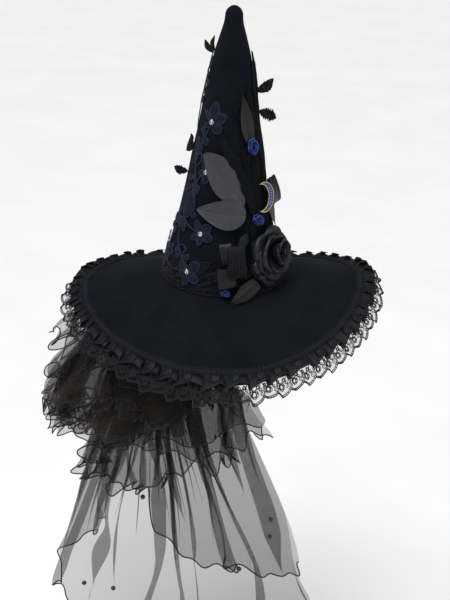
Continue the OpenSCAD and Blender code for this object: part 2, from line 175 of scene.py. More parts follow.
def on_brim(r, az, up):
    r, az, up = np.broadcast_arrays(r, az, up)
    return xyz(r * cos(az), r * sin(az), brim_z(r, az) + up)


# ---- meshes


def grid_quads(n, m, wrap_n=False, wrap_m=False, start=0):
    i = arange(n if wrap_n else n - 1)
    j = arange(m if wrap_m else m - 1)
    i, j = (x.ravel() for x in np.meshgrid(i, j, indexing="ij"))
    i1, j1 = (i + 1) % n, (j + 1) % m
    return xyz(i * m + j, i1 * m + j, i1 * m + j1, i * m + j1) + start


class Shape:
    """Collects grids and tubes, and makes one mesh object of them."""

    def __init__(self):
        self.verts, self.quads, self.tris, self.uvs, self.count = [], [], [], [], 0

    def points(self, verts, uv=None):
        verts = asarray(verts, float).reshape(-1, 3)
        uv = verts[:, :2] if uv is None else asarray(uv, float).reshape(-1, 2)
        self.verts.append(verts)
        self.uvs.append(uv)
        start = self.count
        self.count += len(verts)
        return start

    def grid(self, p, wrap_n=False, wrap_m=False, uv=None):
        n, m = p.shape[:2]
        self.quads.append(grid_quads(n, m, wrap_n, wrap_m, self.points(p, uv)))

    def sheet(self, top, low, wrap_n=False, uv=None):
        """A thin closed sheet between two grids."""
        n, m = top.shape[:2]
        a = self.points(top, uv)
        b = self.points(low, uv)
        self.quads.append(grid_quads(n, m, wrap_n, False, a))
        self.quads.append(grid_quads(n, m, wrap_n, False, b)[:, ::-1])
        i = arange(n if wrap_n else n - 1)
        i1 = (i + 1) % n
        for j, turn in ((0, 1), (m - 1, -1)):
            rim = xyz(a + i * m + j, b + i * m + j, b + i1 * m + j, a + i1 * m + j)
            self.quads.append(rim[:, ::turn])
        if not wrap_n:
            j = arange(m - 1)
            for i0, turn in ((0, -1), (n - 1, 1)):
                k = i0 * m + j
                rim = xyz(a + k, b + k, b + k + 1, a + k + 1)
                self.quads.append(rim[:, ::turn])

    def tube(self, path, radius, sides=6, closed=False):
        p = asarray(path, float)
        n = len(p)
        if closed:
            along = np.roll(p, -1, 0) - np.roll(p, 1, 0)
        else:
            along = np.gradient(p, axis=0)
        along /= maximum(np.linalg.norm(along, axis=1), 1e-9)[:, None]
        side = np.cross(along[0], [0.31, 0.47, 0.83])
        sides_of = []
        for t in along:
            side = side - t * (side @ t)
            side /= max(np.linalg.norm(side), 1e-9)
            sides_of.append(side)
        a = array(sides_of)
        b = np.cross(along, a)
        w = arange(sides) * TAU / sides
        rad = np.broadcast_to(asarray(radius, float), (n,))[:, None, None]
        ring = p[:, None] + rad * (cos(w)[:, None] * a[:, None] + sin(w)[:, None] * b[:, None])
        start = self.points(ring)
        self.quads.append(grid_quads(n, sides, closed, True, start))
        if not closed:
            k = arange(sides)
            for row, turn in ((0, 1), (n - 1, -1)):
                centre = self.points(p[row][None])
                fan = xyz(start + row * sides + k, start + row * sides + (k + 1) % sides,
                                np.full(sides, centre))
                self.tris.append(fan[:, ::turn])

    def revolve(self, profile, n, moved):
        """A closed loop of (r, z) turned round Z; points on the axis become poles."""
        az = (arange(n) * TAU / n)[:, None]
        r, z = profile.T
        self.grid(moved(xyz(r * cos(az), r * sin(az), z)), True, True)

    def make(self, name, material, slot=None, node=None, sharp=45, body="hat", merge=0):
        verts = np.concatenate(self.verts)
        quads = np.concatenate(self.quads).astype(np.int32) if self.quads else np.zeros((0, 4), np.int32)
        tris = np.concatenate(self.tris).astype(np.int32) if self.tris else np.zeros((0, 3), np.int32)
        me = bpy.data.meshes.new(name)
        me.vertices.add(len(verts))
        me.vertices.foreach_set("co", verts.ravel())
        loops = np.concatenate([quads.ravel(), tris.ravel()])
        me.loops.add(len(loops))
        me.loops.foreach_set("vertex_index", loops)
        starts = np.concatenate([arange(len(quads)) * 4, len(quads) * 4 + arange(len(tris)) * 3])
        me.polygons.add(len(starts))
        me.polygons.foreach_set("loop_start", starts.astype(np.int32))
        me.update(calc_edges=True)
        layer = me.uv_layers.new(name="UVMap")
        layer.data.foreach_set("uv", np.concatenate(self.uvs)[loops].ravel())
        me.shade_smooth()
        if sharp:
            me.set_sharp_from_angle(angle=radians(sharp))
        if merge:
            weld(me, merge)
        me.validate()
        me.materials.append(material)
        o = bpy.data.objects.new(name, me)
        bpy.context.collection.objects.link(o)
        if body:
            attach(o, body)
        if node:
            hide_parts(node)
        return o


def weld(me, distance):
    import bmesh
    bm = bmesh.new()
    bm.from_mesh(me)
    bmesh.ops.remove_doubles(bm, verts=bm.verts, dist=distance)
    bmesh.ops.dissolve_degenerate(bm, dist=1e-6, edges=bm.edges)
    bmesh.ops.recalc_face_normals(bm, faces=bm.faces)
    bm.to_mesh(me)
    bm.free()


# ---- materials


class Material:
    """A node material on one Principled shader."""

    def __init__(self, name, colour, rough, **sockets):
        self.m = bpy.data.materials.new(name)
        self.m.use_nodes = True
        self.t = self.m.node_tree
        self.b = self.t.nodes["Principled BSDF"]
        self.b.inputs["Base Color"].default_value = (*colour, 1)
        self.b.inputs["Roughness"].default_value = rough
        for k, v in sockets.items():
            self.b.inputs[k.replace("_", " ")].default_value = v
        self.at = {}

    def node(self, kind, **values):
        n = self.t.nodes.new(kind)
        for k, v in values.items():
            if k.startswith("in_"):
                n.inputs[k[3:].replace("_", " ")].default_value = v
            else:
                setattr(n, k, v)
        return n

    def link(self, a, b):
        self.t.links.new(a, b)

    def where(self, kind):
        if kind not in self.at:
            self.at[kind] = self.node("ShaderNodeTexCoord").outputs[kind]
        return self.at[kind]

    def noise(self, scale, detail=3, rough=0.6):
        n = self.node("ShaderNodeTexNoise", in_Scale=scale, in_Detail=detail, in_Roughness=rough)
        self.link(self.where("Object"), n.inputs["Vector"])
        return n.outputs["Fac"]

    def wave(self, scale, direction, at):
        n = self.node("ShaderNodeTexWave", in_Scale=scale, bands_direction=direction)
        self.link(self.where(at), n.inputs["Vector"])
        return n.outputs["Fac"]

    def math(self, kind, a, b):
        n = self.node("ShaderNodeMath", operation=kind)
        self.link(a, n.inputs[0])
        self.link(b, n.inputs[1])
        return n.outputs[0]

    def ramp(self, fac, stops):
        n = self.node("ShaderNodeValToRGB")
        e = n.color_ramp.elements
        while len(e) < len(stops):
            e.new(0.5)
        for x, (at, c) in zip(e, stops):
            x.position = at
            x.color = (*c, 1) if hasattr(c, "__len__") else (c, c, c, 1)
        self.link(fac, n.inputs["Fac"])
        return n.outputs["Color"]

    def colour(self, fac, stops):
        self.link(self.ramp(fac, stops), self.b.inputs["Base Color"])

    def rough(self, fac, low, high):
        self.link(self.ramp(fac, [(0.3, low), (0.7, high)]), self.b.inputs["Roughness"])

    def bump(self, *heights):
        """Each height is (socket, strength, distance in metres)."""
        last = None
        for h, strength, distance in heights:
            n = self.node("ShaderNodeBump", in_Strength=strength, in_Distance=distance)
            self.link(h, n.inputs["Height"])
            if last:
                self.link(last, n.inputs["Normal"])
            last = n.outputs["Normal"]
        self.link(last, self.b.inputs["Normal"])


def surface(name, rough, dark, light, grain, stops=(0.3, 0.75), base=None, ribs=None, bumps=(), change=None,
            **sockets):
    """Colour, and roughness by change, follow one noise. Bumps are (strength, depth in
    millimetres), first of the ribs where there are any, then of the noise."""
    s = Material(name, base or dark, rough, **sockets)
    first = [ribs(s)] if ribs else []
    fac = s.noise(*grain)
    s.colour(fac, [(stops[0], dark), (stops[1], light)])
    if change:
        s.rough(fac, rough - change[0], rough + change[1])
    if bumps:
        s.bump(*((h, strength, depth * MM) for h, (strength, depth) in zip([*first, fac], bumps)))
    return s.m


def satin(name, dark, light, rough, sheen, crease, gloss=0.28):
    return surface(name, rough, dark, light, (crease, 4, 0.6), ribs=lambda s: s.wave(1500, "Y", "Object"),
                   bumps=((0.12, 0.1), (0.5, 0.8)), change=(0.05, 0.12), Sheen_Weight=sheen * 0.25,
                   Sheen_Roughness=0.4, Sheen_Tint=(0.8, 0.85, 0.95, 1), Specular_IOR_Level=gloss)


def thread(name, dark, light, rough=0.6):
    return surface(name, rough, dark, light, (1400, 3, 0.6), (0.3, 0.72), bumps=((0.6, 0.3),),
                   Sheen_Weight=0.03, Sheen_Roughness=0.5, Specular_IOR_Level=0.2)


def lace_cloth(name, dark, light):
    """Dense stitched lace: rows of thread with a fine net between them."""
    s = Material(name, dark, 0.85, Sheen_Weight=0.03, Sheen_Roughness=0.5, Specular_IOR_Level=0.12)
    both = s.math("MAXIMUM", s.wave(520, "X", "UV"), s.wave(520, "Y", "UV"))
    fleck = s.noise(500, 3, 0.7)
    s.colour(s.math("MULTIPLY", both, fleck), [(0.15, dark), (0.6, light)])
    s.bump((both, 0.6, 0.4 * MM), (fleck, 0.4, 0.3 * MM))
    return s.m


def net(name, colour, low, high, pitch):
    """See-through net: its threads cover more where they cross."""
    s = Material(name, colour, 0.85, Sheen_Weight=0.15, Specular_IOR_Level=0.15)
    threads = s.math("MAXIMUM", s.wave(pitch, "DIAGONAL", "UV"), s.wave(pitch, "X", "UV"))
    s.link(s.ramp(threads, [(0.55, low), (0.95, high)]), s.b.inputs["Alpha"])
    s.bump((threads, 0.3, 0.1 * MM))
    return s.m


def tulle():
    s = Material("tulle", (0.026, 0.023, 0.021), 0.8, Sheen_Weight=0.05, Specular_IOR_Level=0.1, Alpha=0.40)
    s.colour(s.noise(30, 3), [(0.3, (0.014, 0.013, 0.012)), (0.7, (0.032, 0.028, 0.025))])
    s.bump((s.wave(700, "DIAGONAL", "UV"), 0.2, 0.1 * MM))
    return s.m


def plain_weave(name, dark, light, pitch, rough=0.8):
    return surface(name, rough, dark, light, (60, 3, 0.6), bumps=((0.4, 0.2),), Sheen_Weight=0.15,
                   ribs=lambda s: s.math("ADD", s.wave(pitch, "X", "Object"), s.wave(pitch, "Z", "Object")))


def metal(name, colour, rough):
    worn = tuple(0.75 * c for c in colour)
    return surface(name, rough, worn, colour, (240, 4, 0.7), (0.3, 0.7), base=colour,
                   bumps=((0.15, 0.1),), change=(0.06, 0.12), Metallic=1.0)


def gloss(name, dark, light):
    return surface(name, 0.12, dark, light, (160, 3, 0.6), (0.35, 0.7), bumps=((0.1, 0.1),),
                   Coat_Weight=0.25, Coat_Roughness=0.05)


FELT = surface("wool_felt", 0.95, (0.0040, 0.0050, 0.0082), (0.0066, 0.0079, 0.0120), (22, 4, 0.6),
               (0.3, 0.72), (0.005, 0.006, 0.010), lambda s: s.noise(900, 4, 0.7),
               ((0.5, 0.4), (0.35, 1.2)), Sheen_Weight=0.03, Sheen_Roughness=0.5,
               Sheen_Tint=(0.55, 0.6, 0.72, 1), Specular_IOR_Level=0.04)
RIBBON = satin("ribbon_satin", (0.0024, 0.0028, 0.0043), (0.0062, 0.0070, 0.0104), 0.50, 0.0, 60, 0.13)
ROSE = satin("rose_satin", (0.006, 0.0065, 0.008), (0.012, 0.013, 0.016), 0.30, 0.3, 45)
LEAF = satin("leaf_satin", (0.034, 0.035, 0.038), (0.048, 0.049, 0.053), 0.5, 0.2, 40)
BOW = satin("bow_satin", (0.009, 0.009, 0.011), (0.019, 0.019, 0.022), 0.45, 0.2, 50, 0.2)
TAIL = satin("tail_satin", (0.011, 0.0105, 0.0105), (0.022, 0.0205, 0.0205), 0.45, 0.2, 45, 0.2)
BLUE = satin("blue_satin", (0.006, 0.018, 0.095), (0.024, 0.060, 0.25), 0.36, 0.2, 90)
VELVET = satin("velvet_leaf", (0.003, 0.0035, 0.0045), (0.010, 0.011, 0.014), 0.7, 0.2, 120, 0.12)
CHIFFON = satin("crushed_chiffon", (0.0025, 0.003, 0.004), (0.007, 0.008, 0.010), 0.8, 0.0, 160, 0.07)
LACE_THREAD = thread("lace_thread", (0.0035, 0.004, 0.006), (0.012, 0.013, 0.018))
HEADING = lace_cloth("heading_lace", (0.003, 0.003, 0.005), (0.013, 0.014, 0.018))
NAVY = lace_cloth("navy_applique", (0.0025, 0.004, 0.010), (0.0075, 0.011, 0.027))
NAVY_CORD = thread("navy_cord", (0.006, 0.009, 0.024), (0.019, 0.028, 0.062), 0.6)
BOW_LACE = lace_cloth("bow_lace", (0.004, 0.0045, 0.006), (0.018, 0.019, 0.025))
LACE_NET = net("lace_net", (0.010, 0.010, 0.010), 0.07, 0.42, 420)
BAND_NET = net("band_net", (0.003, 0.003, 0.004), 0.10, 0.55, 600)
LINING = plain_weave("lining_cloth", (0.010, 0.010, 0.012), (0.020, 0.020, 0.024), 900, 0.6)
BUCKRAM = plain_weave("buckram_weave", (0.05, 0.05, 0.048), (0.09, 0.09, 0.085), 420)
GROSGRAIN = surface("grosgrain", 0.62, (0.009, 0.009, 0.011), (0.022, 0.022, 0.026), (70, 3, 0.6),
                    base=(0.012, 0.012, 0.014), ribs=lambda s: s.wave(320, "Z", "Object"),
                    bumps=((0.6, 0.4),), Sheen_Weight=0.2)
STEEL = metal("drawn_steel", (0.55, 0.55, 0.57), 0.35)
SILVER = metal("silver_claw", (0.80, 0.76, 0.68), 0.18)
GOLD = metal("gold_rim", (0.86, 0.62, 0.30), 0.2)
ENAMEL = gloss("blue_enamel", (0.004, 0.010, 0.10), (0.012, 0.030, 0.32))
BEAD = gloss("black_bead", (0.002, 0.002, 0.003), (0.006, 0.006, 0.008))
CRYSTAL = surface("crystal", 0.03, (0.85, 0.88, 0.93), (0.98, 0.97, 0.94), (300, 2, 0.5), (0.3, 0.7),
                  (0.9, 0.92, 0.95), Transmission_Weight=0.85, IOR=1.75)

# ---- crown


def tip_dents(p):
    """Soft dents of the felt near the tip, pushed in on the wearer's right."""
    x, y, z = p[..., 0], p[..., 1], p[..., 2]
    az = np.arctan2(y, x)
    near = exp(-((z - 0.90 * CROWN_H) / (14 * MM)) ** 2) * exp(-((az + 1.4) / 0.6) ** 2)
    soft = sin(3 * az + z * 60) * sin(z * 140 + az) * 0.35 * MM * (z < 0.97 * CROWN_H)
    high = clip((z - 0.4 * CROWN_H) / (0.3 * CROWN_H), 0, 1)
    r = hypot(x, y)
    scale = 1 - np.where(r > 5 * MM, (near * 3 * MM + (soft + 0.35 * MM) * high) / maximum(r, 1e-4), 0)
    return xyz(x * scale, y * scale, z)


def crown():
    t = 3 * MM
    outer = PROFILE[:, ::-1].copy()
    outer[-1, 0] = 0
    inner = [(r - t, z) for r, z in outer if z <= 0.949 * CROWN_H]
    inner[-1] = (inner[-1][0], inner[-1][1] - 2 * MM)
    loop = vstack([outer, [(0, CROWN_H - 12 * MM)], inner[::-1]])
    s = Shape()
    s.revolve(loop, 160, tip_dents)
    s.make("crown", FELT, "felt", "crown_felt", merge=1e-6)


def crown_seam():
    """Hand stitches that close the crown at the back."""
    s = Shape()
    for z in arange(8 * MM, 0.9 * CROWN_H, 6 * MM):
        rise = array([-0.1, 0.35, 0.35, -0.1]) * MM
        s.tube(wrap(135, z, 0, linspace(0, 3.4 * MM, 4), rise), 0.3 * MM, 5)
    s.make("crown_stitches", LACE_THREAD, "felt")


crown()
crown_seam()

# ---- brim


def brim_ring(name, section, material, node, slot, n=288, sharp=50):
    """A closed section of (r, height above the brim) carried round the brim."""
    az = arange(n)[:, None] * TAU / n
    section = asarray(section)
    s = Shape()
    s.grid(on_brim(section[:, 0], az, section[:, 1]), True, True)
    return s.make(name, material, slot, node, sharp=sharp)


def layer(r0, r1, low, top, steps=26):
    r = linspace(r0, r1, steps)
    bulge = array([(r1 + 0.3 * MM, low + (top - low) * k) for k in (0.3, 0.7)])
    return vstack([xyz(r, np.full(steps, low)), bulge,
                      xyz(r[::-1], np.full(steps, top))])


def brim():
    brim_ring("brim", layer(HOLE_R, BRIM_R - 0.3 * MM, -3 * MM, 0), FELT, "brim_felt", "felt")
    brim_ring("interlining", layer(CROWN_R - 2 * MM, BRIM_R - EDGE_MARGIN - 1 * MM, -5.3 * MM, -3.3 * MM),
              BUCKRAM, "brim_interlining", "buckram")
    brim_ring("underbrim", layer(HOLE_R, BRIM_R - 0.3 * MM, -7.1 * MM, -5.6 * MM), FELT,
              "brim_facing", "felt")
    wire = [(BRIM_R - EDGE_MARGIN / 2 + 0.8 * MM * cos(a), -4.3 * MM + 0.8 * MM * sin(a))
            for a in arange(8) * TAU / 8]
    brim_ring("edge_wire", wire, STEEL, "brim_wire", "wire")
    r0, r1 = BRIM_R - EDGE_MARGIN, BRIM_R + 0.4 * MM
    fold = [(r1 + k * 0.9 * MM * cos(a), -3.5 * MM + (3.8 + k * 0.6) * MM * sin(a))
            for k, turn in ((1, 1), (0, -1))
            for a in linspace(-pi / 2, pi / 2, 9)[::turn]]
    section = [(r0, -8.0 * MM), *fold[:9], (r0, 0.9 * MM), (r0, 0.3 * MM), *fold[9:], (r0, -7.3 * MM)]
    brim_ring("edge_binding_ribbon", section, RIBBON, "edge_binding", "satin")


def underbrim_stitches():
    """A row of small stitches round the underside of the brim."""
    s = Shape()
    r, spacing, length = BRIM_R - EDGE_MARGIN + 1.5 * MM, 6 * MM, 3.4 * MM
    n = int(TAU * r / spacing)
    rise = array([-0.3, 0.35, 0.35, -0.3]) * MM
    for k in range(n):
        s.tube(on_brim(r, k * TAU / n + linspace(0, length / r, 4), rise - 7.7 * MM), 0.28 * MM, 5)
    s.make("underbrim_stitches", LACE_THREAD, "satin")


brim()
underbrim_stitches()

# ---- ribbon ruffle and lace edging

FLUTES = 46


def flute_noise(n, seed):
    """A value per flute, joined smoothly."""
    return np.random.default_rng(seed).uniform(-1, 1, n)


def around(values, s):
    """Smooth closed run through values, at s from 0 to 1."""
    n = len(values)
    x = (s % 1) * n
    i = np.floor(x).astype(int) % n
    t = x - np.floor(x)
    t = t * t * (3 - 2 * t)
    return values[i] * (1 - t) + values[(i + 1) % n] * t


def ruffle():
    n, m = FLUTES * 26, 13
    s0 = arange(n) / n
    warp = around(flute_noise(FLUTES, 3), s0) * 0.22 / FLUTES
    swell = 1 + 0.3 * around(flute_noise(FLUTES, 4), s0 + 0.3 / FLUTES)
    lean = around(flute_noise(FLUTES, 5), s0)
    phase, t = ((s0 + warp) * FLUTES * TAU)[:, None], linspace(0, 1, m)[None]
    open_up = clip((t - 0.06) / 0.6, 0, 1) ** 0.85
    high = sin(phase) + 0.32 * sin(2 * phase + 0.9)
    up = (1.6 + 2.2 * sin(pi * t * 0.9) + 8.4 * swell[:, None] * open_up * (high * 0.62 + 0.35)) * MM
    shift = open_up * (7.5 * sin(2 * phase + 0.7) + 3.5 * cos(phase) + 1.5 * lean[:, None]) * MM
    r = (BRIM_R - EDGE_MARGIN - 1 * MM + (RIBBON_R - BRIM_R + EDGE_MARGIN) * t
         + open_up * (1.6 * cos(phase + 1.2) - 1.5 * high) * MM)
    az = (s0 * TAU)[:, None] + shift / r
    top = on_brim(r, az, up)
    s, selvedge = Shape(), Shape()
    s.sheet(top, on_brim(r + 0.15 * MM, az, up - 0.45 * MM), True, xyz(s0[:, None] * 1.45, t * 0.03))
    o = s.make("pleated_ribbon", RIBBON, "satin", "ruffle_ribbon", 0)
    selvedge.tube(top[:, -1] - [0, 0, 0.2 * MM], 0.42 * MM, 5, closed=True)
    selvedge.make("ribbon_selvedge", BOW, "satin")


def heading():
    """Narrow ruched lace that covers the ribbon's sewn edge."""
    n, m, ruches, picots = 1440, 9, 240, 260
    az, t = (arange(n) * TAU / n)[:, None], linspace(0, 1, m)[None]
    r0, r1 = BRIM_R - EDGE_MARGIN - 8.5 * MM, BRIM_R - EDGE_MARGIN + 1.2 * MM
    ripple = 0.9 * MM * sin(az * ruches + 1.5 * sin(az * 37)) * (0.8 + 0.3 * sin(az * 23))
    up = (0.7 + 1.5 * sin(pi * t)) * MM + ripple * (0.5 + abs(t - 0.5))
    r = r0 + (r1 - r0) * t + ripple * (t - 0.5) * 2
    s, edge = Shape(), Shape()
    s.sheet(on_brim(r, az, up + 0.3 * MM), on_brim(r, az, up - 0.1 * MM), True, xyz(az * BRIM_R, r))
    s.make("ruched_heading", HEADING, "black_lace", "ruffle_heading", 0)
    out = sin(linspace(0, pi, 8))
    for k in range(picots):
        a = (k + linspace(0, 1, 8)) * TAU / picots
        edge.tube(on_brim(r0 - 2.2 * MM * out, a, (0.9 + 0.5 * out) * MM), 0.38 * MM, 4)
    a = az[::2, 0]
    edge.tube(on_brim((r0 + r1) / 2, a, (2.9 + 0.5 * sin(a * ruches)) * MM), 0.5 * MM, 5, closed=True)
    edge.make("heading_picots", LACE_THREAD, "black_lace")


SCALLOPS = 76
LACE_R0 = BRIM_R + 1.5 * MM


def lace_point(s, t):
    """s counts scallops round the brim; t runs from the sewn edge to the tip of a scallop."""
    s, t = np.broadcast_arrays(asarray(s, float), asarray(t, float))
    deep = LACE_R - LACE_R0
    turn = s / SCALLOPS
    big = around(flute_noise(38, 8), turn)
    ripple = sin(s * pi + 1.3 * big) * (0.7 + 0.5 * big)
    az = turn * TAU + t * deep * 0.10 * cos(s * pi * 2 + big) / LACE_R
    up = -1.5 * MM - 12 * MM * t + t * 6 * MM * ripple
    return on_brim(LACE_R0 + deep * t * (0.93 + 0.05 * big), az, up)


def lace_motif():
    """Threads of one scallop, as (s, t) paths with a thread radius in millimetres."""
    arc = linspace(0, 1, 15)
    edge = 0.80 + 0.20 * sin(pi * arc) ** 0.8
    paths = [(arc, edge, 0.62), (arc, edge - 0.085, 0.5), (arc, 0.03, 0.6), (arc, 0.14, 0.45)]
    for k in range(9):
        x = (k + 0.5) / 9
        y = 0.80 + 0.20 * sin(pi * x) ** 0.8
        paths.append(([x - 0.03, x + 0.03], [y - 0.085, y], 0.4))
        paths.append(([x - 0.04, x + 0.04], [0.03, 0.14], 0.35))
    ring = linspace(0, TAU, 11)
    paths.append((0.5 + 0.13 * cos(ring), 0.56 + 0.10 * sin(ring), 0.55))
    for x, y, wide, deep in ((0.0, 0.62, 0.16, 0.12), (0.25, 0.30, 0.11, 0.09), (0.75, 0.30, 0.11, 0.09)):
        paths.append((x + wide * cos(ring), y + deep * sin(ring), 0.5))
        paths.append((x + 0.5 * wide * cos(ring), y + 0.5 * deep * sin(ring), 0.38))
    for k in range(5):
        a = k * TAU / 5 + 0.3
        x = 0.5 + 0.20 * cos(a + 0.7 * sin(ring)) * (0.75 + 0.45 * sin(ring / 2))
        y = 0.56 + 0.15 * sin(a + 0.7 * sin(ring)) * (0.75 + 0.45 * sin(ring / 2))
        paths.append((x, y, 0.42))
    sweep = linspace(0, 1, 9)
    for side in (0, 1):
        x = 0.05 + 0.35 * sweep + 0.10 * sin(sweep * pi)
        y = 0.14 + 0.36 * sweep**0.7 + 0.06 * sin(sweep * TAU)
        paths.append((x if side == 0 else 1 - x, y, 0.5))
        curl = linspace(0, 1.6 * TAU * 0.8, 10)
        cx, cy = 0.13, 0.42
        x = cx + 0.09 * cos(curl) * (1 - curl / 14)
        y = cy + 0.09 * sin(curl) * (1 - curl / 14)
        paths.append((x if side == 0 else 1 - x, y, 0.42))
    return paths


def lace_edging():
    s = Shape()
    motif = lace_motif()
    for k in range(SCALLOPS):
        for x, y, rad in motif:
            s.tube(lace_point(k + asarray(x), asarray(y)), 1.35 * rad * MM, 4)
    threads = s.make("lace_threads", LACE_THREAD, slot="black_lace", sharp=0)
    n, m = SCALLOPS * 12, 7
    x = arange(n)[:, None] / 12
    edge = 0.785 + 0.20 * abs(sin(pi * x)) ** 0.8
    t = linspace(0, 1, m)[None] * edge
    net = Shape()
    uv = xyz(np.broadcast_to(x * 0.019, t.shape), t * 0.027)
    net.grid(lace_point(x, t), wrap_n=True, uv=uv)
    o = net.make("lace_net", LACE_NET, "black_lace", "lace_edging", sharp=0)


ruffle()
heading()
lace_edging()

# ---- lace band round the foot of the crown

BAND_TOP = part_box("crown_base_lace")[1].z


def crown_lace():
    s, net = Shape(), Shape()
    repeats, picots = 12, 64
    length = TAU * crown_r(0.02)
    wide = length / repeats

    def thread(u, v, rad):
        s.tube(wrap(-90, 1 * MM, u, v, 0.75 * MM), rad * MM, 4)

    a = linspace(0, TAU, 240)[:-1]
    for z in (2.2 * MM, 10.5 * MM):
        r = crown_r(z) + 0.9 * MM
        s.tube(xyz(r * cos(a), r * sin(a), z), 0.5 * MM, 4, closed=True)
    bow, arch, fan, loop = linspace(0, 1, 8), linspace(0, 1, 16), linspace(0.22, 1, 7), linspace(0, TAU, 9)
    for k in range(picots):
        for foot, rise in ((1.5, 4.2), (5.2, 4.0)):
            thread((k + bow) * length / picots, (foot + rise * sin(pi * bow)) * MM, 0.42)
    for k in range(repeats):
        mid = (k + 0.5) * wide
        for j in range(11):
            a = radians(-62 + j * 12.4)
            reach = (26 + 5 * cos(a * 3)) * MM * fan
            for side in (-0.7, 0.7):
                thread(mid + reach * sin(a) + side * MM * sin(fan * pi), 21 * MM + reach * cos(a), 0.38)
        for j in range(6):
            a = j * TAU / 6 + 0.5 + 0.45 * sin(loop)
            reach = 3.4 * MM * (1 - cos(loop))
            thread(mid + reach * cos(a), 16 * MM + reach * sin(a), 0.42)
        for foot, rise, rad in ((16, 34, 0.5), (12, 33, 0.38)):
            thread((k + arch) * wide, (foot + rise * sin(pi * arch) ** 0.8) * MM, rad)
    s.make("crown_lace_threads", LACE_THREAD, "black_lace", sharp=0)
    az = arange(300)[:, None] * TAU / 300
    z = 1 * MM + (BAND_TOP - 4 * MM) * linspace(0, 1, 16)[None] * (0.82 + 0.18 * abs(sin(az * repeats / 2)))
    low, top = (xyz(r * cos(az), r * sin(az), z) for r in (crown_r(z) + 0.2 * MM, crown_r(z) + 0.5 * MM))
    net.sheet(low, top, True, xyz(az * 0.09, z))
    net.make("crown_lace_ground", BAND_NET, "black_lace", "crown_base_lace")


crown_lace()

# ---- shapes that lie on the crown


def leaf_half(t, w, point=0.75, full=0.85):
    """Half width of a leaf at t from stem to tip."""
    return w / 2 * sin(pi * clip(t, 0, 1) ** point) ** full


def turned(x, y, degrees):
    a = radians(degrees)
    return x * cos(a) - y * sin(a), x * sin(a) + y * cos(a)


def petal_on_crown(s, cords, az, z, turn, length, wide, out, rings=1):
    """A lace petal with a cord round its edge, others inside and a rib."""
    def put(x, y, h):
        u, v = turned(x, y, turn)
        return wrap(az, z, u, v, h)

    stem = min(3 * MM, 0.2 * length)
    t, k = span(15, 9)
    x, y = np.broadcast_arrays(stem + (length - stem) * t, leaf_half(t, wide, 0.9, 0.62) * k)
    h = out + (1 - k**2) * sin(pi * t) ** 0.5 * MM
    s.sheet(put(x, y, h + 0.35 * MM), put(x, y, h - 0.25 * MM), uv=xyz(x, y))
    t = linspace(0, 1, 16)
    for ring in range(rings + 1):
        share = 1 - ring * 0.62 / (rings + 1)
        half = leaf_half(t, wide, 0.9, 0.62) * share
        x = stem + (length - stem) * (0.5 + (t - 0.5) * share + 0.04 * ring)
        edge = np.concatenate([x, x[-2:0:-1]]), np.concatenate([half, -half[-2:0:-1]])
        lift, rad = (0.35, 0.78) if ring == 0 else (1.35 - share**2, 0.42)
        cords.tube(put(*edge, out + lift * MM), rad * MM, 5, closed=True)
    t = linspace(0, 0.85, 8)
    cords.tube(put(t * length, 0 * t, out + 1.3 * MM), 0.3 * MM, 4)


def vine(cords, points, out, rad=0.8):
    """A doubled cord through (azimuth, height) points."""
    p = smooth_path(points, 8)
    for side in (-0.6, 0.6):
        cords.tube(array([wrap(a + side, z * MM, 0, 0, out) for a, z in p]).reshape(-1, 3), rad * MM, 5)


# Each motif: azimuth, height, then the direction, length and width of each petal
SPRAYS = {
    "applique_upper": [
        (-124, 254, [(85, 30, 14), (30, 23, 14), (-45, 20, 14), (140, 22, 7), (215, 18, 7)]),
        (-141, 222, [(190, 15, 12), (15, 13, 10), (260, 18, 9)])],
    "applique_middle": [
        (-122, 181, [(110, 20, 9), (200, 14, 8), (-95, 18, 10), (-30, 12, 8)]),
        (-139, 152, [(18, 10, 7), (90, 10, 7), (162, 10, 7), (234, 10, 7), (306, 10, 7)])],
    "applique_lower": [
        (-118, 90, [(125, 22, 10), (50, 20, 13), (-20, 20, 12), (215, 20, 8), (265, 18, 9)]),
        (-148, 102, [(80, 48, 24), (200, 18, 9), (-70, 20, 9)])],
    "applique_base": [
        (-126, 30, [(45, 24, 15), (-35, 24, 12), (-95, 22, 11), (150, 22, 12), (-150, 18, 9)])],
    "applique_back_low": [
        (-170, 36, [(70, 22, 12), (140, 20, 10), (0, 20, 12), (-60, 20, 10), (-130, 20, 10)]),
        (-168, 84, [(90, 20, 10), (200, 16, 8), (-40, 16, 9)])],
    "applique_back_top": [
        (-174, 322, [(80, 18, 9), (170, 12, 7), (-60, 14, 8)]),
        (-182, 282, [(100, 18, 9), (-20, 14, 8), (-100, 15, 8)])]}
VINES = {
    "applique_upper": [[(-124, 254), (-131, 240), (-138, 224), (-146, 204)]],
    "applique_middle": [[(-146, 204), (-146, 186), (-141, 168), (-139, 152)],
                        [(-122, 181), (-132, 172), (-140, 160)],
                        [(-146, 200), (-138, 206), (-134, 196), (-141, 188)]],
    "applique_lower": [[(-139, 152), (-147, 134), (-150, 118), (-148, 106)],
                       [(-148, 106), (-136, 96), (-118, 90)],
                       [(-148, 106), (-152, 84), (-146, 62)],
                       [(-150, 132), (-141, 140), (-137, 128), (-143, 120), (-148, 127), (-144, 131)]],
    "applique_base": [[(-146, 62), (-137, 48), (-126, 30)],
                      [(-146, 62), (-138, 66), (-133, 60), (-137, 54)]],
    "applique_back_low": [[(-148, 106), (-158, 96), (-168, 84)], [(-168, 84), (-164, 60), (-170, 36)],
                          [(-170, 36), (-150, 26), (-126, 30)]],
    "applique_back_top": [[(-182, 345), (-176, 322), (-182, 300), (-182, 282), (-172, 250), (-156, 226)]]}
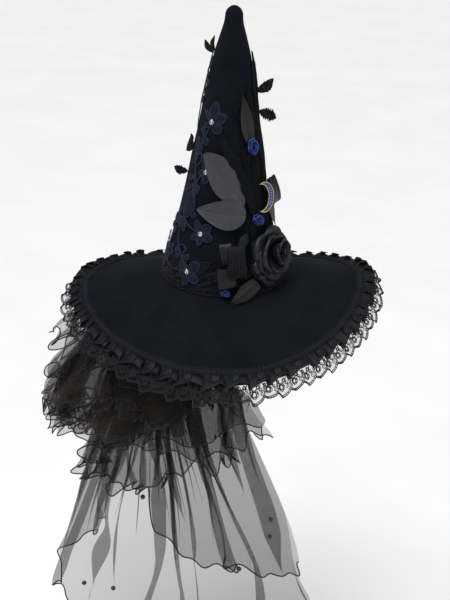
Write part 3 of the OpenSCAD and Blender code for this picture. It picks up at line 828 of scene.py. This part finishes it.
CLUSTERS = {
    "applique_upper": [(-134, 236, 160), (-148, 212, 200)],
    "applique_middle": [(-145, 192, 120), (-149, 172, 240)],
    "applique_lower": [(-152, 142, 100), (-140, 116, -20), (-155, 96, 200)],
    "applique_base": [(-142, 52, 170), (-133, 44, 60)],
    "applique_back_low": [(-160, 104, 130), (-176, 62, 180), (-160, 50, -30)],
    "applique_back_top": [(-168, 302, 30), (-176, 338, 200)]}


def over_lace(z):
    return (1.9 if z < BAND_TOP / MM + 45 else 0.6) * MM


def applique(node):
    s, cords = Shape(), Shape()
    lift = 0
    for az, z, petals in SPRAYS[node]:
        for turn, length, wide in petals:
            petal_on_crown(s, cords, az, z * MM, turn, length * MM, 1.12 * wide * MM,
                           over_lace(z) + lift * 0.25 * MM, rings=3 if length > 40 else 1)
            lift = (lift + 1) % 3
        ring = linspace(0, TAU, 15)[:-1]
        cords.tube(wrap(az, z * MM, 3.6 * MM * cos(ring), 3.6 * MM * sin(ring), over_lace(z) + 1.6 * MM),
                   0.6 * MM, 5, closed=True)
    for az, z, turn in CLUSTERS[node]:
        petal_on_crown(s, cords, az, z * MM, turn, 13 * MM, 9 * MM, over_lace(z) + 0.2 * MM)
        petal_on_crown(s, cords, az, z * MM, turn + 75, 11 * MM, 7 * MM, over_lace(z) + 0.3 * MM)
    for points in VINES[node]:
        vine(cords, points, over_lace(points[-1][1]) + 0.9 * MM)
    s.make(node + "_petals", NAVY, "applique", node, sharp=60)
    cords.make(node + "_cords", NAVY_CORD, slot="applique", sharp=0)


for spray_name in SPRAYS:
    applique(spray_name)

# ---- leaves


def leaf_grid(length, wide, point=0.8, full=0.85, ragged=0.0, seed=1, blunt=None):
    """Flat leaf in its own plane: x from the stem, y across, with small teeth on its edge."""
    n, m = 64, 17
    t, k = span(n, m)
    inner = 0.015 + 0.97 * t
    half = leaf_half(inner, wide, point, full)
    if blunt:
        half = np.where(k > 0, half, leaf_half(inner, wide * blunt[0], *blunt[1:]))
    teeth = 0.35 * MM * (arange(n) % 2)[:, None] * (abs(k) > 0.99)
    if ragged:
        rough = np.random.default_rng(seed).uniform(-1, 1, (n, 1))
        half = half * (1 + ragged * rough * (0.3 + sin(pi * t)))
    return length * t + 0 * k, half * k - np.sign(k) * teeth, t, k


def leaf_relief(t, k, cup):
    """Height of the midrib crease, the side veins and the cupped blade."""
    rib = -0.9 * MM * exp(-(k / 0.07) ** 2) * (t < 0.93)
    side = abs((t * 7 - abs(k) * 1.6) % 1 - 0.5)
    veins = -0.22 * MM * exp(-(side / 0.12) ** 2) * (1 - exp(-(k / 0.2) ** 2))
    return rib + veins + cup * MM * k**2 * sin(pi * t) ** 0.6


def crown_leaf(name, node, material, slot, az, z, out, turn, length, wide, cup, tip_lift=0, **grid):
    """A leaf that lies on the crown, its middle at (az, z)."""
    x, y, t, k = leaf_grid(length * MM, wide * MM, **grid)
    h = (out + tip_lift * abs(2 * t - 1) ** 2.5 + 0.8 * sin(5 * t + 2 * k)) * MM + leaf_relief(t, k, cup)
    u, v = turned(x - length * MM / 2, y, turn)
    s = Shape()
    s.sheet(wrap(az, z * MM, u, v, h + 0.5 * MM), wrap(az, z * MM, u, v, h), uv=xyz(x, y))
    s.make(name, material, slot, node, 50)


class Place:
    """A spot on the crown: x runs round to the right, y up, z outward, in metres."""

    def __init__(self, az, z, out=0.0, *turns):
        a, lean = radians(az), float(crown_lean(z * MM))
        outward = array([cos(a) * cos(lean), sin(a) * cos(lean), sin(lean)])
        right = array([-sin(a), cos(a), 0])
        foot = array([crown_r(z * MM) * cos(a), crown_r(z * MM) * sin(a), z * MM])
        self.at = foot + outward * out * MM
        self.axes = np.stack([right, np.cross(outward, right), outward])
        self.scale = np.ones(3)
        for axis, degrees in turns:
            self.axes = spin(axis, degrees) @ self.axes

    def put(self, p):
        return self.at + asarray(p) * self.scale @ self.axes


def spin(axis, degrees):
    """Turns a place's own axes about one of them."""
    c, s = cos(radians(degrees)), sin(radians(degrees))
    m = np.eye(3)
    i, j = [(1, 2), (2, 0), (0, 1)][axis]
    m[i, i], m[i, j], m[j, i], m[j, j] = c, s, -s, c
    return m


def free_leaf(s, place, length, wide, curl=4.0, **grid):
    """A leaf that stands off the crown on a wired stem, along the place's x."""
    x, y, t, k = leaf_grid(length * MM, wide * MM, **grid)
    h = leaf_relief(t, k, 2.0) + curl * MM * sin(pi * t) + 0.6 * MM * sin(9 * t + 3 * k)
    p = xyz(x, y, h)
    s.sheet(place.put(p + [0, 0, 0.5 * MM]), place.put(p), uv=xyz(x, y))
    rib = linspace(0, 0.6, 7)
    stem = xyz(rib * length * MM, 0 * rib, curl * MM * sin(pi * rib) - 0.6 * MM)
    root = place.at - (place.at / np.linalg.norm(place.at[:2])) * [4.5 * MM, 4.5 * MM, 0]
    s.tube(vstack([[root], place.put(stem)]), 0.8 * MM, 6)


def free_leaves(name, node, *leaves):
    """One black piece of leaves, each its place, length and width, then any other values."""
    s = Shape()
    for place, length, wide, more in leaves:
        free_leaf(s, place, length, wide, **more)
    s.make(name, VELVET, "leaf_velvet", node, 50)


def leaves():
    crown_leaf("satin_leaf_upper", "leaf_large_upper", LEAF, "leaf_satin", -95, 172, 5.2, 131, 93, 40,
               1.6, 1.5, full=1.1, blunt=(1.3, 1.5, 0.55))
    crown_leaf("satin_leaf_lower", "leaf_large_lower", LEAF, "leaf_satin", -96, 124, 7.4, 176, 67, 46,
               1.6, 2, point=0.66)
    crown_leaf("satin_leaf_right", "leaf_right_satin", TAIL, "leaf_satin", -16, 124, 4.6, 100, 74, 28, 2)
    crown_leaf("satin_leaf_upright", "leaf_upright", TAIL, "leaf_satin", -61, 256, 7.4, 97, 84, 18, 2, 2,
               full=1.1)
    crown_leaf("round_leaf_left", "leaf_left_round", VELVET, "leaf_velvet", -174, 211, 8.5, 85, 27, 26, -6,
               point=1.0, full=0.6, ragged=0.08)
    free_leaves("pointed_leaf_left", "leaf_left_pointed",
                (Place(-176, 166, 0.5, (1, 60), (2, 180)), 24, 13, {"ragged": 0.25}))
    free_leaves("leaf_right_top", "leaf_right_upper",
                (Place(2, 292, 0.5, (1, -50), (2, 14)), 37, 17, {"ragged": 0.10}))
    free_leaves("leaf_feathered", "leaf_right_feathered",
                (Place(4, 262, 0.5, (1, -55), (2, -32)), 38, 15, {"ragged": 0.35, "seed": 4}))
    free_leaves("leaf_tip_pair", "leaf_top_pair",
                (Place(-174, 350, 0.5, (1, 30), (2, 112)), 22, 9, {"curl": 2}),
                (Place(-176, 347, 0.5, (1, 50), (2, 150)), 24, 10, {"curl": 2}))


leaves()

# ---- garland of crushed chiffon


def strip(s, points, wide, out, seed, crush=1.0, m=15):
    """A crumpled strip of cloth along (azimuth, height) points of the crown."""
    r = np.random.default_rng(seed)
    path = smooth_path(points, 26)
    t, k = span(len(path), m)
    ends = clip(t / 0.14, 0, 1) ** 0.7 * clip((1 - t) / 0.06, 0, 1) ** 0.5
    half = wide * MM / 2 * ends * (1 + 0.18 * sin(t * 17 + seed) + 0.1 * sin(t * 41 + 2 * seed))
    folds = sum(r.uniform(0.3, 1) * cos(k * f + r.uniform(0, TAU) + 1.7 * sin(t * g + r.uniform(0, TAU)))
                for f, g in ((3.5, 9), (6.5, 14), (9.5, 21), (13, 30)))
    crumple = r.uniform(-1, 1, folds.shape) * 0.03
    h = out * MM + crush * 2.6 * MM * (0.5 + 0.22 * folds + crumple) * (1 - 0.5 * k**2)
    az, z = path[:, :1], path[:, 1:] * MM
    ahead = np.gradient(path, axis=0)
    du, dv = radians(ahead[:, :1]) * crown_r(z), ahead[:, 1:] * MM
    across_path = half * k / hypot(du, dv)
    p = wrap(az, z, -dv * across_path, du * across_path, h)
    inward = -xyz(p[..., 0], p[..., 1], 0.25 * hypot(p[..., 0], p[..., 1]))
    inward /= np.linalg.norm(inward, axis=-1)[..., None]
    s.sheet(p, p + inward * 0.35 * MM, uv=xyz(t * 0.25, k * wide * MM / 2))


def garland():
    ground, strips, lace = Shape(), Shape(), Shape()
    strip(ground, [(-44, 66), (-43, 120), (-40, 180), (-40, 240), (-40, 292)], 50, 0.8, 11, 0.5, 31)
    strip(strips, [(-66, 296), (-64, 262), (-60, 220), (-60, 175), (-62, 140), (-57, 96)], 15, 1.6, 1)
    strip(strips, [(-104, 240), (-93, 219), (-80, 199), (-69, 175), (-61, 149), (-57, 122)], 13, 8.2, 2,
          0.8, 11)
    strip(strips, [(-50, 306), (-47, 262), (-43, 215), (-45, 170), (-49, 128), (-52, 84)], 17, 2.0, 3)
    strip(strips, [(-12, 352), (-12, 335), (-16, 312), (-24, 285), (-25, 255), (-22, 205), (-24, 165),
                   (-30, 128), (-34, 92)], 17, 1.8, 4)
    strip(strips, [(-58, 150), (-50, 120), (-56, 92), (-50, 66)], 13, 4.2, 5)
    ground.make("garland_ground", CHIFFON, "garland", "garland_drape", 0)
    strips.make("garland_strips", CHIFFON, "garland", sharp=0)
    for az, z, turn, l, w in ((-66, 96, 245, 26, 12), (-60, 84, 290, 24, 11), (-68, 74, 215, 18, 9),
                              (-56, 70, 262, 26, 11), (-62, 52, 280, 24, 11), (-52, 50, 265, 22, 10)):
        petal_on_crown(lace, lace, az, z * MM, turn, l * MM, w * MM, 7.5 * MM)
    lace.make("garland_lace", LACE_THREAD, "garland", sharp=0)


garland()

# ---- ribbon flowers


def petal(s, place, angle, width, r0, r1, low, high, roll, seed, n=26, m=22):
    """A folded ribbon petal of a flower that faces out along the place's z.

    angle is where its middle stands, width how far it reaches round, both in degrees; it runs
    from radius r0 at height low to r1 at height high, and its rim rolls outward by roll degrees."""
    r = np.random.default_rng(seed)
    a, t = linspace(-1, 1, n)[:, None], linspace(0, 1, m)[None]
    blade = clip(t / 0.78, 0, 1)
    curl = clip((t - 0.78) / 0.22, 0, 1) * radians(roll)
    side = 1 - abs(a) ** 3.2
    roll_r = (r1 - r0) * 0.10 + 1.1 * MM
    crease = sum(r.uniform(0.3, 1) * cos(a * f + r.uniform(0, TAU)) for f in (4, 7, 11))
    up = (low + (high - low) * blade * (0.55 + 0.45 * side) - roll_r * (1 - cos(curl)) * side
          + 0.55 * MM * crease * blade)
    reach = (r0 + (r1 - r0) * blade**0.85 * (0.62 + 0.38 * side) + roll_r * sin(curl) * side
             + 0.7 * MM * cos(a * 5 + r.uniform(0, TAU)) * blade)
    th = radians(angle) + radians(width / 2) * a * (1 + 0.12 * (1 - t))
    p = xyz(reach * cos(th), reach * sin(th), up)
    back = p - xyz(0.45 * cos(th), 0.45 * sin(th), 0.35) * MM
    s.sheet(place.put(p), place.put(back), uv=xyz(a * 0.02, t * 0.02))


def spiral(s, place, r_out, low, high, turns, seed):
    """The rolled ribbon at the heart of a flower."""
    r = np.random.default_rng(seed)
    q, t = span(int(36 * turns), 9, 0)
    th = TAU * turns * q
    lip = clip((t - 0.8) / 0.2, 0, 1) ** 2
    rad = r_out * (0.10 + 0.90 * q**0.8) * (0.72 + 0.28 * t) + (0.3 * sin(3 * th) + 0.9 * lip) * MM
    up = low + (high - low) * t * (1 - 0.30 * q)
    up = up + (0.5 * sin(2 * th + r.uniform(0, TAU)) * t - 0.5 * lip) * MM
    front, back = (place.put(xyz(x * cos(th), x * sin(th), up)) for x in (rad, rad - 0.4 * MM))
    s.sheet(front, back, uv=xyz(q * 0.1, t * 0.02))


def rose():
    place, heart = Place(-38, 56, 4), Place(-35, 60, 6, (1, 8), (0, 6))
    core, inner, middle, outer, base = (Shape() for _ in range(5))
    spiral(core, heart, 9 * MM, 4.5 * MM, 25 * MM, 2.6, 1)
    for k in range(4):
        petal(inner, heart, 20 + k * 95, 150, (6 + k) * MM, (15.5 + 1.6 * k) * MM, 5 * MM,
              (25.5 - 1.2 * k) * MM, 130, 10 + k)
    for k in range(5):
        petal(middle, place, 50 + k * 72 + 5 * (k % 2), 112, (10 + k % 2) * MM, (27 + 2 * (k % 3)) * MM,
              4.8 * MM, (19.5 - k % 3) * MM, 165, 20 + k)
    for angle, reach, up in ((205, 46, 9), (250, 47, 7), (160, 42, 10), (292, 44, 6)):
        petal(outer, place, angle, 62, 15 * MM, reach * MM, 4.4 * MM, up * MM, 165, angle)
    for k in range(6):
        petal(outer, place, 15 + k * 60 + 6 * (k % 3), 92, (13 + k % 2) * MM, (37 + 2.2 * (k % 3)) * MM,
              4.6 * MM, (11 + 1.5 * (k % 2)) * MM, 175, 30 + k)
    for s, name, node in ((core, "rose_heart", "rose_core"),
                          (inner, "rose_petals_inner", "rose_inner_petals"),
                          (middle, "rose_petals_middle", "rose_middle_petals"),
                          (outer, "rose_petals_outer", "rose_outer_petals")):
        s.make(name, ROSE, "rose_satin", node, 0)
    az = arange(48)[:, None] * TAU / 48
    r, z = array([(0.5, 0.2), (20, 0.2), (21, 1.0), (21, 3.0), (20, 4.0), (0.5, 4.0)]).T * MM
    base.grid(place.put(xyz(r * cos(az), r * sin(az), z)), True, True)
    base.make("rose_back", VELVET, "rose_satin", "rose_base")


def rosebud(name, node, az, z, turn, size, seed):
    """A bud, longer along its own y than across, and low on the crown."""
    place = Place(az, z, 5.2, (2, turn))
    s = Shape()
    r, long = size * 0.33 * MM, size * 0.5 * MM
    place.scale = array([0.95, long / r * 0.86, 0.95])
    spiral(s, place, r * 0.42, 0.4 * MM, r * 1.75, 1.8, seed)
    for k in range(4):
        petal(s, place, 40 + k * 95, 150, r * 0.30, r * (0.66 + 0.05 * k), 0.2 * MM, r * (1.65 - 0.1 * k),
              120, seed * 10 + k, 18, 14)
    for k in range(4):
        petal(s, place, k * 92, 120, r * 0.4, r * 0.93, 0, r * (1.0 + 0.1 * (k % 2)),
              140, seed * 20 + k, 18, 14)
    s.make(name, BLUE, "blue_velvet", node, 0)


rose()
rosebud("blue_rosebud_upper", "rosebud_upper", -55, 222, 10, 27, 1)
rosebud("blue_rosebud_middle", "rosebud_middle", -53, 113, 60, 23.4, 2)
rosebud("blue_rosebud_lower", "rosebud_lower", -88, 8, 80, 15.6, 3)

# ---- bow


def ribbon_loop(s, place, length, deep, wide, pinch=0.75, puckers=0.7):
    """A loop of ribbon: its fold points along the place's x and its width lies along y."""
    q, k = linspace(0, TAU, 48)[:, None], linspace(-1, 1, 17)[None]
    share = 0.5 - 0.5 * cos(q)
    along = length * MM * share
    high = deep * MM / 2 * sin(q) * (0.35 + 0.65 * share**0.5)
    w = wide * MM / 2 * (pinch + (1 - pinch) * share) * k
    pucker = puckers * MM * cos(k * 9) * (1 - share) ** 2 * 1.6 + 0.25 * MM * cos(k * 4 + q)
    p = xyz(along, w, high + pucker)
    inner = p + xyz(cos(q), 0, -sin(q)) * 0.5 * MM
    s.sheet(place.put(p), place.put(inner), uv=xyz(q * length * MM / 3, w))


BOW_LACE_AT = Place(-79, 33, 22.5, (2, 93))


def bow():
    for name, material, node, slot, place, size in (
            ("bow_upper", BOW, "bow_loop_upper", "satin", Place(-87, 51, 11, (2, 98)), (32, 12, 18)),
            ("bow_lace", BOW_LACE, "bow_loop_lace", "black_lace", BOW_LACE_AT, (48, 9, 24, 1.15, 0.2)),
            ("bow_lower", BOW, "bow_loop_lower", "satin", Place(-79, 32, 11, (2, 183)), (28, 12, 30, 0.9)),
            ("ribbon_loop_right", ROSE, "right_ribbon_loop", "satin", Place(-9, 164, 9, (2, -82), (0, 30)),
             (46, 13, 22, 0.75, 1.2))):
        s = Shape()
        ribbon_loop(s, place, *size)
        s.make(name, material, slot, node, 60)


def bow_threads():
    """Rows of small lace rings on the lace loop."""
    s = Shape()
    a = linspace(0, TAU, 9)
    for i in range(10):
        for j in range(5):
            x, y = (3.5 + i * 4.3 + 1.4 * (j % 2)) * MM, (-9.4 + j * 4.7) * MM
            z = (4.9 * sin(pi * min(1, x / (48 * MM))) ** 0.6 + 0.2) * MM
            ring = xyz(x + 1.9 * MM * cos(a) * (1 + 0.25 * sin(2 * a)), y + 2.1 * MM * sin(a), z)
            s.tube(BOW_LACE_AT.put(ring), 0.6 * MM, 4)
    s.make("bow_lace_threads", LACE_THREAD, "black_lace", sharp=0)


def bow_knot():
    s = Shape()
    q, k = arange(20)[:, None] * TAU / 20, linspace(-1, 1, 13)[None]
    square = (abs(cos(q)) ** 4 + abs(sin(q)) ** 4) ** -0.25
    thick = 3.4 * square * (1 + 0.06 * cos(7 * q + 3 * k)) * minimum(1, (1.001 - abs(k)) * 8) ** 0.5
    s.grid(Place(-72, 44, 7.5).put(xyz(6.4 * k, thick * cos(q), thick * sin(q)) * MM), True, False)
    s.make("bow_centre", BOW, "satin", "bow_knot", 0)


def tail():
    """A folded satin tail that points down to the left and ends in a point."""
    place = Place(-59, 17, 6.5, (2, 208))
    t, k = span(40, 13)
    half = 13 * clip((1.002 - t) / 0.5, 0, 1) ** 0.8 * (0.72 + 0.28 * clip(t / 0.35, 0, 1))
    fold = 1.6 * exp(-((k + 0.1) / 0.18) ** 2) * (1 - t) + 1.2 * sin(3 * t + k)
    p = xyz(-3 + 58 * t + 3 * (k - 1) * t * (1 - t), -1.5 - 3 * t + half * k,
            0.8 + fold + 2.5 * t * (1 - t)) * MM
    s = Shape()
    s.sheet(place.put(p), place.put(p - [0, 0, 0.5 * MM]), uv=p[..., :2])
    s.make("satin_tail", TAIL, "satin", "ribbon_tail", 60)


bow()
bow_threads()
bow_knot()
tail()

# ---- crystals, moon and hidden parts


def paint(node, material):
    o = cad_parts[node]
    o.data.materials.clear()
    o.data.materials.append(material)
    return o


def crystals():
    """Faceted stones, each held by eight claws on a small cup."""
    stones, cups = Shape(), Shape()
    r = 3.0 * MM
    ring = arange(8) * TAU / 8

    def rings(levels, twist=0.0):
        """Rings of eight points at (share of the radius, height in millimetres)."""
        return np.stack([xyz(r * k * cos(ring + i * twist), r * k * sin(ring + i * twist), h * MM)
                         for i, (k, h) in enumerate(levels)], 1)

    stone = rings([(0.05, 0.4), (0.75, 0.6), (1.0, 1.5), (0.92, 1.8), (0.55, 2.8), (0.02, 2.85)], TAU / 16)
    cup = rings([(0.05, 0), (1.2, 0), (1.26, 1.5), (1.12, 1.6), (1.06, 0.3), (0.05, 0.25)])
    claws = rings([(1.2, 1.2), (1.18, 2.0), (0.98, 2.3), (0.8, 2.45)])
    for motifs in list(SPRAYS.values())[:5]:
        az, z, _ = motifs[0]
        place = Place(az, z, over_lace(z) / MM + 1.7)
        stones.grid(place.put(stone), True, False)
        cups.grid(place.put(cup), True, False)
        for claw in claws:
            cups.tube(place.put(claw), 0.4 * MM, 5)
    stones.make("crystal_stones", CRYSTAL, "crystal", "rhinestones", 5)
    cups.make("crystal_cups", SILVER, "silver_setting", "rhinestone_settings", 30)


def painted_parts():
    for node, material in (("crown_lining", LINING), ("sweatband", GROSGRAIN), ("wire_ferrule", STEEL),
                           ("moon_frame", GOLD), ("moon_enamel", ENAMEL), ("moon_stones", CRYSTAL)):
        paint(node, material)


crystals()
painted_parts()

# ---- veil

VEIL_TOP = -38 * MM
VEIL_L = 575 * MM
GATHER_R = 104 * MM
TIER_PITCH = 8 * MM
VEIL_MID = 210
VEIL_REACH = 262 * MM


TULLE = tulle()
HEM = thread("rolled_hem", (0.006, 0.006, 0.007), (0.020, 0.020, 0.023), 0.5)
BANDCLOTH = plain_weave("gather_band", (0.008, 0.008, 0.010), (0.018, 0.018, 0.022), 600)


def far_edge(z):
    return interp(-z / MM, [0, 150, 575], [170, 165, 150])


def near_edge(z):
    return interp(-z / MM, [0, 38, 150, 300, 575], [248, 256, 306, 314, 328])


def spread(az):
    a = radians(az)
    left, right = radians(195), radians(330)
    return (50 + 120 * maximum(0, cos(a - left)) ** 2 + 60 * maximum(0, cos(a - right)) ** 2) * MM


def across(z, u, wide):
    return VEIL_MID + (far_edge(z) + u * (near_edge(z) - far_edge(z)) - VEIL_MID) * wide


def hem_curve(points):
    path = smooth_path(points, 12)
    return lambda az: interp(az, path[:, 0], path[:, 1]) * MM


def hem_lower(az):
    return -VEIL_L + 12 * MM * cos(3 * radians(az))


hem_middle = hem_curve([(150, -430), (185, -385), (205, -335), (236, -322), (244, -385), (258, -440),
                        (284, -455), (306, -480), (328, -440)])
hem_upper = hem_curve([(150, -265), (185, -285), (215, -325), (245, -300), (290, -240), (326, -225)])

BUNCH_AZ, BUNCH_FALL = 218, 0.15
BUNCH_AT, BUNCH_WIDE = 0.60, 0.24


def folds_of(u, v, seed, count, fine):
    """Shift across (as a share of u) and out of the cloth (in metres) that folds give."""
    r = np.random.default_rng(seed)
    shift, out = np.zeros_like(u), np.zeros_like(u)
    for k in range(count):
        at = (k + 0.5 + r.uniform(-0.4, 0.4)) / count
        wander = at + 0.02 * sin(v * r.uniform(3, 7) + r.uniform(0, TAU))
        broad = 2.6 if k % 6 == 0 or (k % 3 == 0 and at > 0.45) else 1
        wide = r.uniform(0.14, 0.38) * broad / count * (0.40 + 0.80 * v)
        from_v, to_v = r.uniform(0, 0.2), r.uniform(0.7, 1.6)
        depth = clip((v - from_v) / 0.18, 0, 1) * clip((to_v - v) / 0.3, 0, 1) * r.uniform(0.5, 1.2)
        x = (u - wander) / wide
        bell = x * exp(-x * x / 2)
        shift -= depth * wide * 2.4 * bell
        out += depth * 7 * MM * bell * (0.5 + v) * r.choice([-1, 1])
    bunch = exp(-((u - BUNCH_AT) / BUNCH_WIDE) ** 2)
    soft = clip(1 - v / (0.40 + 0.42 * bunch), 0, 1) ** 0.8
    phase = TAU * fine * (u + 0.010 * sin(u * 31 + seed) + 0.004 * sin(v * 9 + u * 50))
    shift += soft * (0.28 + 0.42 * bunch) / fine * sin(2 * phase)
    out += soft * (3.4 * MM * sin(phase) + 3.0 * MM * sin(phase * 0.37 + 1 + 2 * v))
    return shift, out


def pulled(az, u, fall, pull):
    """Draws the cloth together towards the bunch below the gathers; the edges give way less."""
    off = (fall - BUNCH_FALL) / np.where(fall < BUNCH_FALL, 0.12, 0.36)
    middle = 0.40 + 0.60 * (1 - abs(2 * clip(u, 0, 1) - 1) ** 2.5)
    return az + (BUNCH_AZ - az) * pull * middle * exp(-off * off)


def hem_waves(u, v, seed, size, deep=0.09):
    """Lettuce waves that the rolled hem makes, dying out above it, and one large curl at the left."""
    r = np.random.default_rng(seed)
    near = exp(-(1 - v) / deep) * (1 + 1.1 * exp(-((u - 0.10) / 0.12) ** 2))
    out, down = np.zeros_like(u), np.zeros_like(u)
    for f in (6, 10, 16, 23):
        a = r.uniform(0.4, 1) * size / (1 + f / 14)
        out += a * sin(TAU * f * u + r.uniform(0, TAU))
        down += 0.6 * a * sin(TAU * f * u + r.uniform(0, TAU))
    return near * out, near * down


def tier_grid(layer_no, hem, wide, seed, count, fine, waves, pull=0.3, n=900, m=72, deep=0.09):
    u = linspace(0, 1, n)[:, None] + np.zeros((1, m))
    v = np.zeros((n, 1)) + linspace(0, 1, m)[None] ** 1.15
    shift, out = folds_of(u, v, seed, count, fine)
    wave_out, wave_down = hem_waves(u, v, seed + 50, waves * MM, deep)
    uu = clip(u + shift, -0.02, 1.02)
    low = hem(across(hem(VEIL_MID), uu, wide)) + wave_down
    z = VEIL_TOP + (low - VEIL_TOP) * v
    fall = clip((VEIL_TOP - z) / (VEIL_L + VEIL_TOP), 0, 1)
    az = pulled(across(z, uu, wide), uu, fall, pull)
    r = GATHER_R + spread(az) * fall**0.8 + layer_no * TIER_PITCH + 1.5 * MM + out + wave_out
    a = radians(az)
    return xyz(r * cos(a), r * sin(a), z), u, v


def ease(obj):
    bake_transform(obj)


def tier(name, node, hem_node, flat, cut, *shape):
    """One tier of the veil with its rolled hem."""
    p, u, v = tier_grid(*shape)
    s, edge = Shape(), Shape()
    s.grid(p, uv=xyz(u * flat[0], v * flat[1]))
    cloth = s.make(name, TULLE, "tulle", node, 0, body=None)
    ease(cloth)
    edge.tube(p[:, -1][::2], 1.15 * MM, 6)
    hem_piece = edge.make(name + "_hem", HEM, "hem", hem_node, 0, body="veil")
    return p


# Each frill: its hem's height, how wide it is as a share of the veil, how far it stands off
FRILLS = ((-235, 1.0, 4), (-205, 0.95, 12), (-160, 0.9, 20), (-100, 0.84, 28),
          (-215, 0.5, 2), (-190, 0.42, 8), (-175, 0.5, 14))


def frill_hem(k, low):
    """Height of a frill's hem at an azimuth; it droops at the far left."""
    def hem(az):
        a = radians(az)
        droop = 48 * clip((205 - az) / 30, 0, 1)
        return (low - droop - 18 * cos(4 * a + k) - 12 * cos(9 * a + 2 * k)) * MM
    return hem


def pouf():
    """Short frills over the gathers that puff out to the left, each with its own rolled hem."""
    s, hems = Shape(), Shape()
    flat, cut = (1.5, 0.46), 0.58
    for k, (low, wide, reach) in enumerate(FRILLS):
        p, u, v = tier_grid(2.4 + k * 0.7, frill_hem(k, low), wide, 70 + k, 7, 26, 15, 0.30, 520, 30, 0.3)
        left = clip((0.70 - u) / 0.45, 0, 1)
        puff = 0.35 * sin(pi * clip(v, 0, 1)) + v**1.2
        lobe = 1 + 0.30 * sin(u * 19 + 2.1 * k) + 0.18 * sin(u * 43 + v * 5 + k)
        r = np.linalg.norm(p[..., :2], axis=-1)
        stand = r + (reach + 46 * left * lobe) * puff * MM
        past = maximum(0, stand - VEIL_REACH)
        stand = minimum(stand, VEIL_REACH) + 30 * MM * np.tanh(past / (30 * MM))
        p = p * xyz(stand / r, stand / r, 1)
        s.grid(p, uv=xyz(u * flat[0], (v + k) * flat[1] / len(FRILLS)))
        hems.tube(p[:, -1], 1.0 * MM, 5)
    cloth = s.make("tulle_pouf", TULLE, "tulle", "veil_pouf", 0, body=None)
    rolled = hems.make("tulle_pouf_hems", HEM, "hem", sharp=0, body=None)
    ease(cloth)
    ease(rolled)


def gather_band():
    az = linspace(radians(170), radians(250), 160)[:, None]
    section = array([(-3, -20.4), (4, -20.4), (4.3, -13.4), (4, -7.4), (-3, -7.4)]) * MM
    ripple = 0.7 * MM * sin(az * 160) * (section[:, 0] > 0)
    p = on_brim(GATHER_R + section[:, 0] + ripple, az, section[:, 1])
    s = Shape()
    s.grid(p, False, True)
    for row in (0, -1):
        k = s.points(p[row])
        s.tris.append(array([[k, k + i, k + i + 1] for i in range(1, 4)]))
    s.make("gather_band", BANDCLOTH, "tulle", "veil_band")


def beads(cloths):
    """Each bead sits on the outermost cloth at its azimuth and height."""
    s = Shape()
    r = 4 * MM
    ring, lat = (arange(14) * TAU / 14)[:, None], linspace(-pi / 2, pi / 2, 9)[None]
    ball = xyz(cos(lat) * cos(ring), cos(lat) * sin(ring), sin(lat)) * r
    cloth = np.concatenate([p.reshape(-1, 3) for p in cloths])
    for az, z in ((227, -506), (301, -366), (300, -396), (284, -446), (214, -522), (233, -334),
                  (247, -540), (205, -205), (203, -245)):
        way = array([cos(radians(az)), sin(radians(az))])
        out, side = cloth[:, :2] @ way, cloth[:, :2] @ [-way[1], way[0]]
        near = (abs(cloth[:, 2] - z * MM) < r) & (abs(side) < r) & (out > 0)
        far = max(out[near], default=0.2) + r + 0.2 * MM
        s.grid([far * way[0], far * way[1], z * MM] + ball, True, False)
    s.make("veil_bead_drops", BEAD, "bead", "veil_beads", 0, body="veil")


def veil():
    gather_band()
    cloths = [
        tier("tulle_lower", "veil_tier_lower", "veil_hem_lower", (1.15, 0.58), 0.55,
             0, hem_lower, 1, 1, 26, 38, 6, 0.5),
        tier("tulle_middle", "veil_tier_middle", "veil_hem_middle", (0.90, 0.50), 0.28,
             1, hem_middle, 0.97, 2, 20, 36, 11, 0.5),
        tier("tulle_upper", "veil_tier_upper", "veil_hem_upper", (0.75, 0.28), 0.15,
             2, hem_upper, 0.9, 3, 16, 34, 12, 0.45)]
    pouf()
    beads(cloths)


veil()

# ---- lights, floor and end


def light(name, at, to, size, power):
    data = bpy.data.lights.new(name, "AREA")
    data.size = size
    data.energy = power
    o = bpy.data.objects.new(name, data)
    bpy.context.collection.objects.link(o)
    o.location = at
    o.rotation_euler = (Vector(to) - Vector(at)).to_track_quat("-Z", "Y").to_euler()


def sky():
    sun = bpy.data.lights.new("sky", "SUN")
    sun.energy = 2.2
    sun.angle = radians(40)
    o = bpy.data.objects.new("sky", sun)
    bpy.context.collection.objects.link(o)
    o.rotation_euler = (radians(14), radians(-10), 0)
    world = bpy.data.worlds.new("studio")
    bpy.context.scene.world = world
    world.use_nodes = True
    background = world.node_tree.nodes["Background"].inputs
    background["Color"].default_value = (1, 1, 1, 1)
    background["Strength"].default_value = 0.36


def floor():
    s = Shape()
    x, y = array([[-12.0, 12.0]]), linspace(-6, 14, 60)[:, None]
    s.grid(xyz(x, y, CAD_BOX[0].z - 450 * MM))
    pale = Material("pale_floor", (0.9, 0.9, 0.9), 0.7)
    pale.colour(pale.noise(3, 2), [(0.3, (0.86, 0.86, 0.86)), (0.7, (0.9, 0.9, 0.9))])
    s.make("floor", pale.m, body=None)


floor()
light("key", (-1.1, -1.6, 2.2), (0, 0, 0), 1.3, 22)
light("fill", (1.9, -1.2, 1.0), (0, 0, 0), 1.2, 10)
sky()
view = bpy.context.scene.view_settings
view.view_transform = "Standard"

bpy.context.view_layer.update()
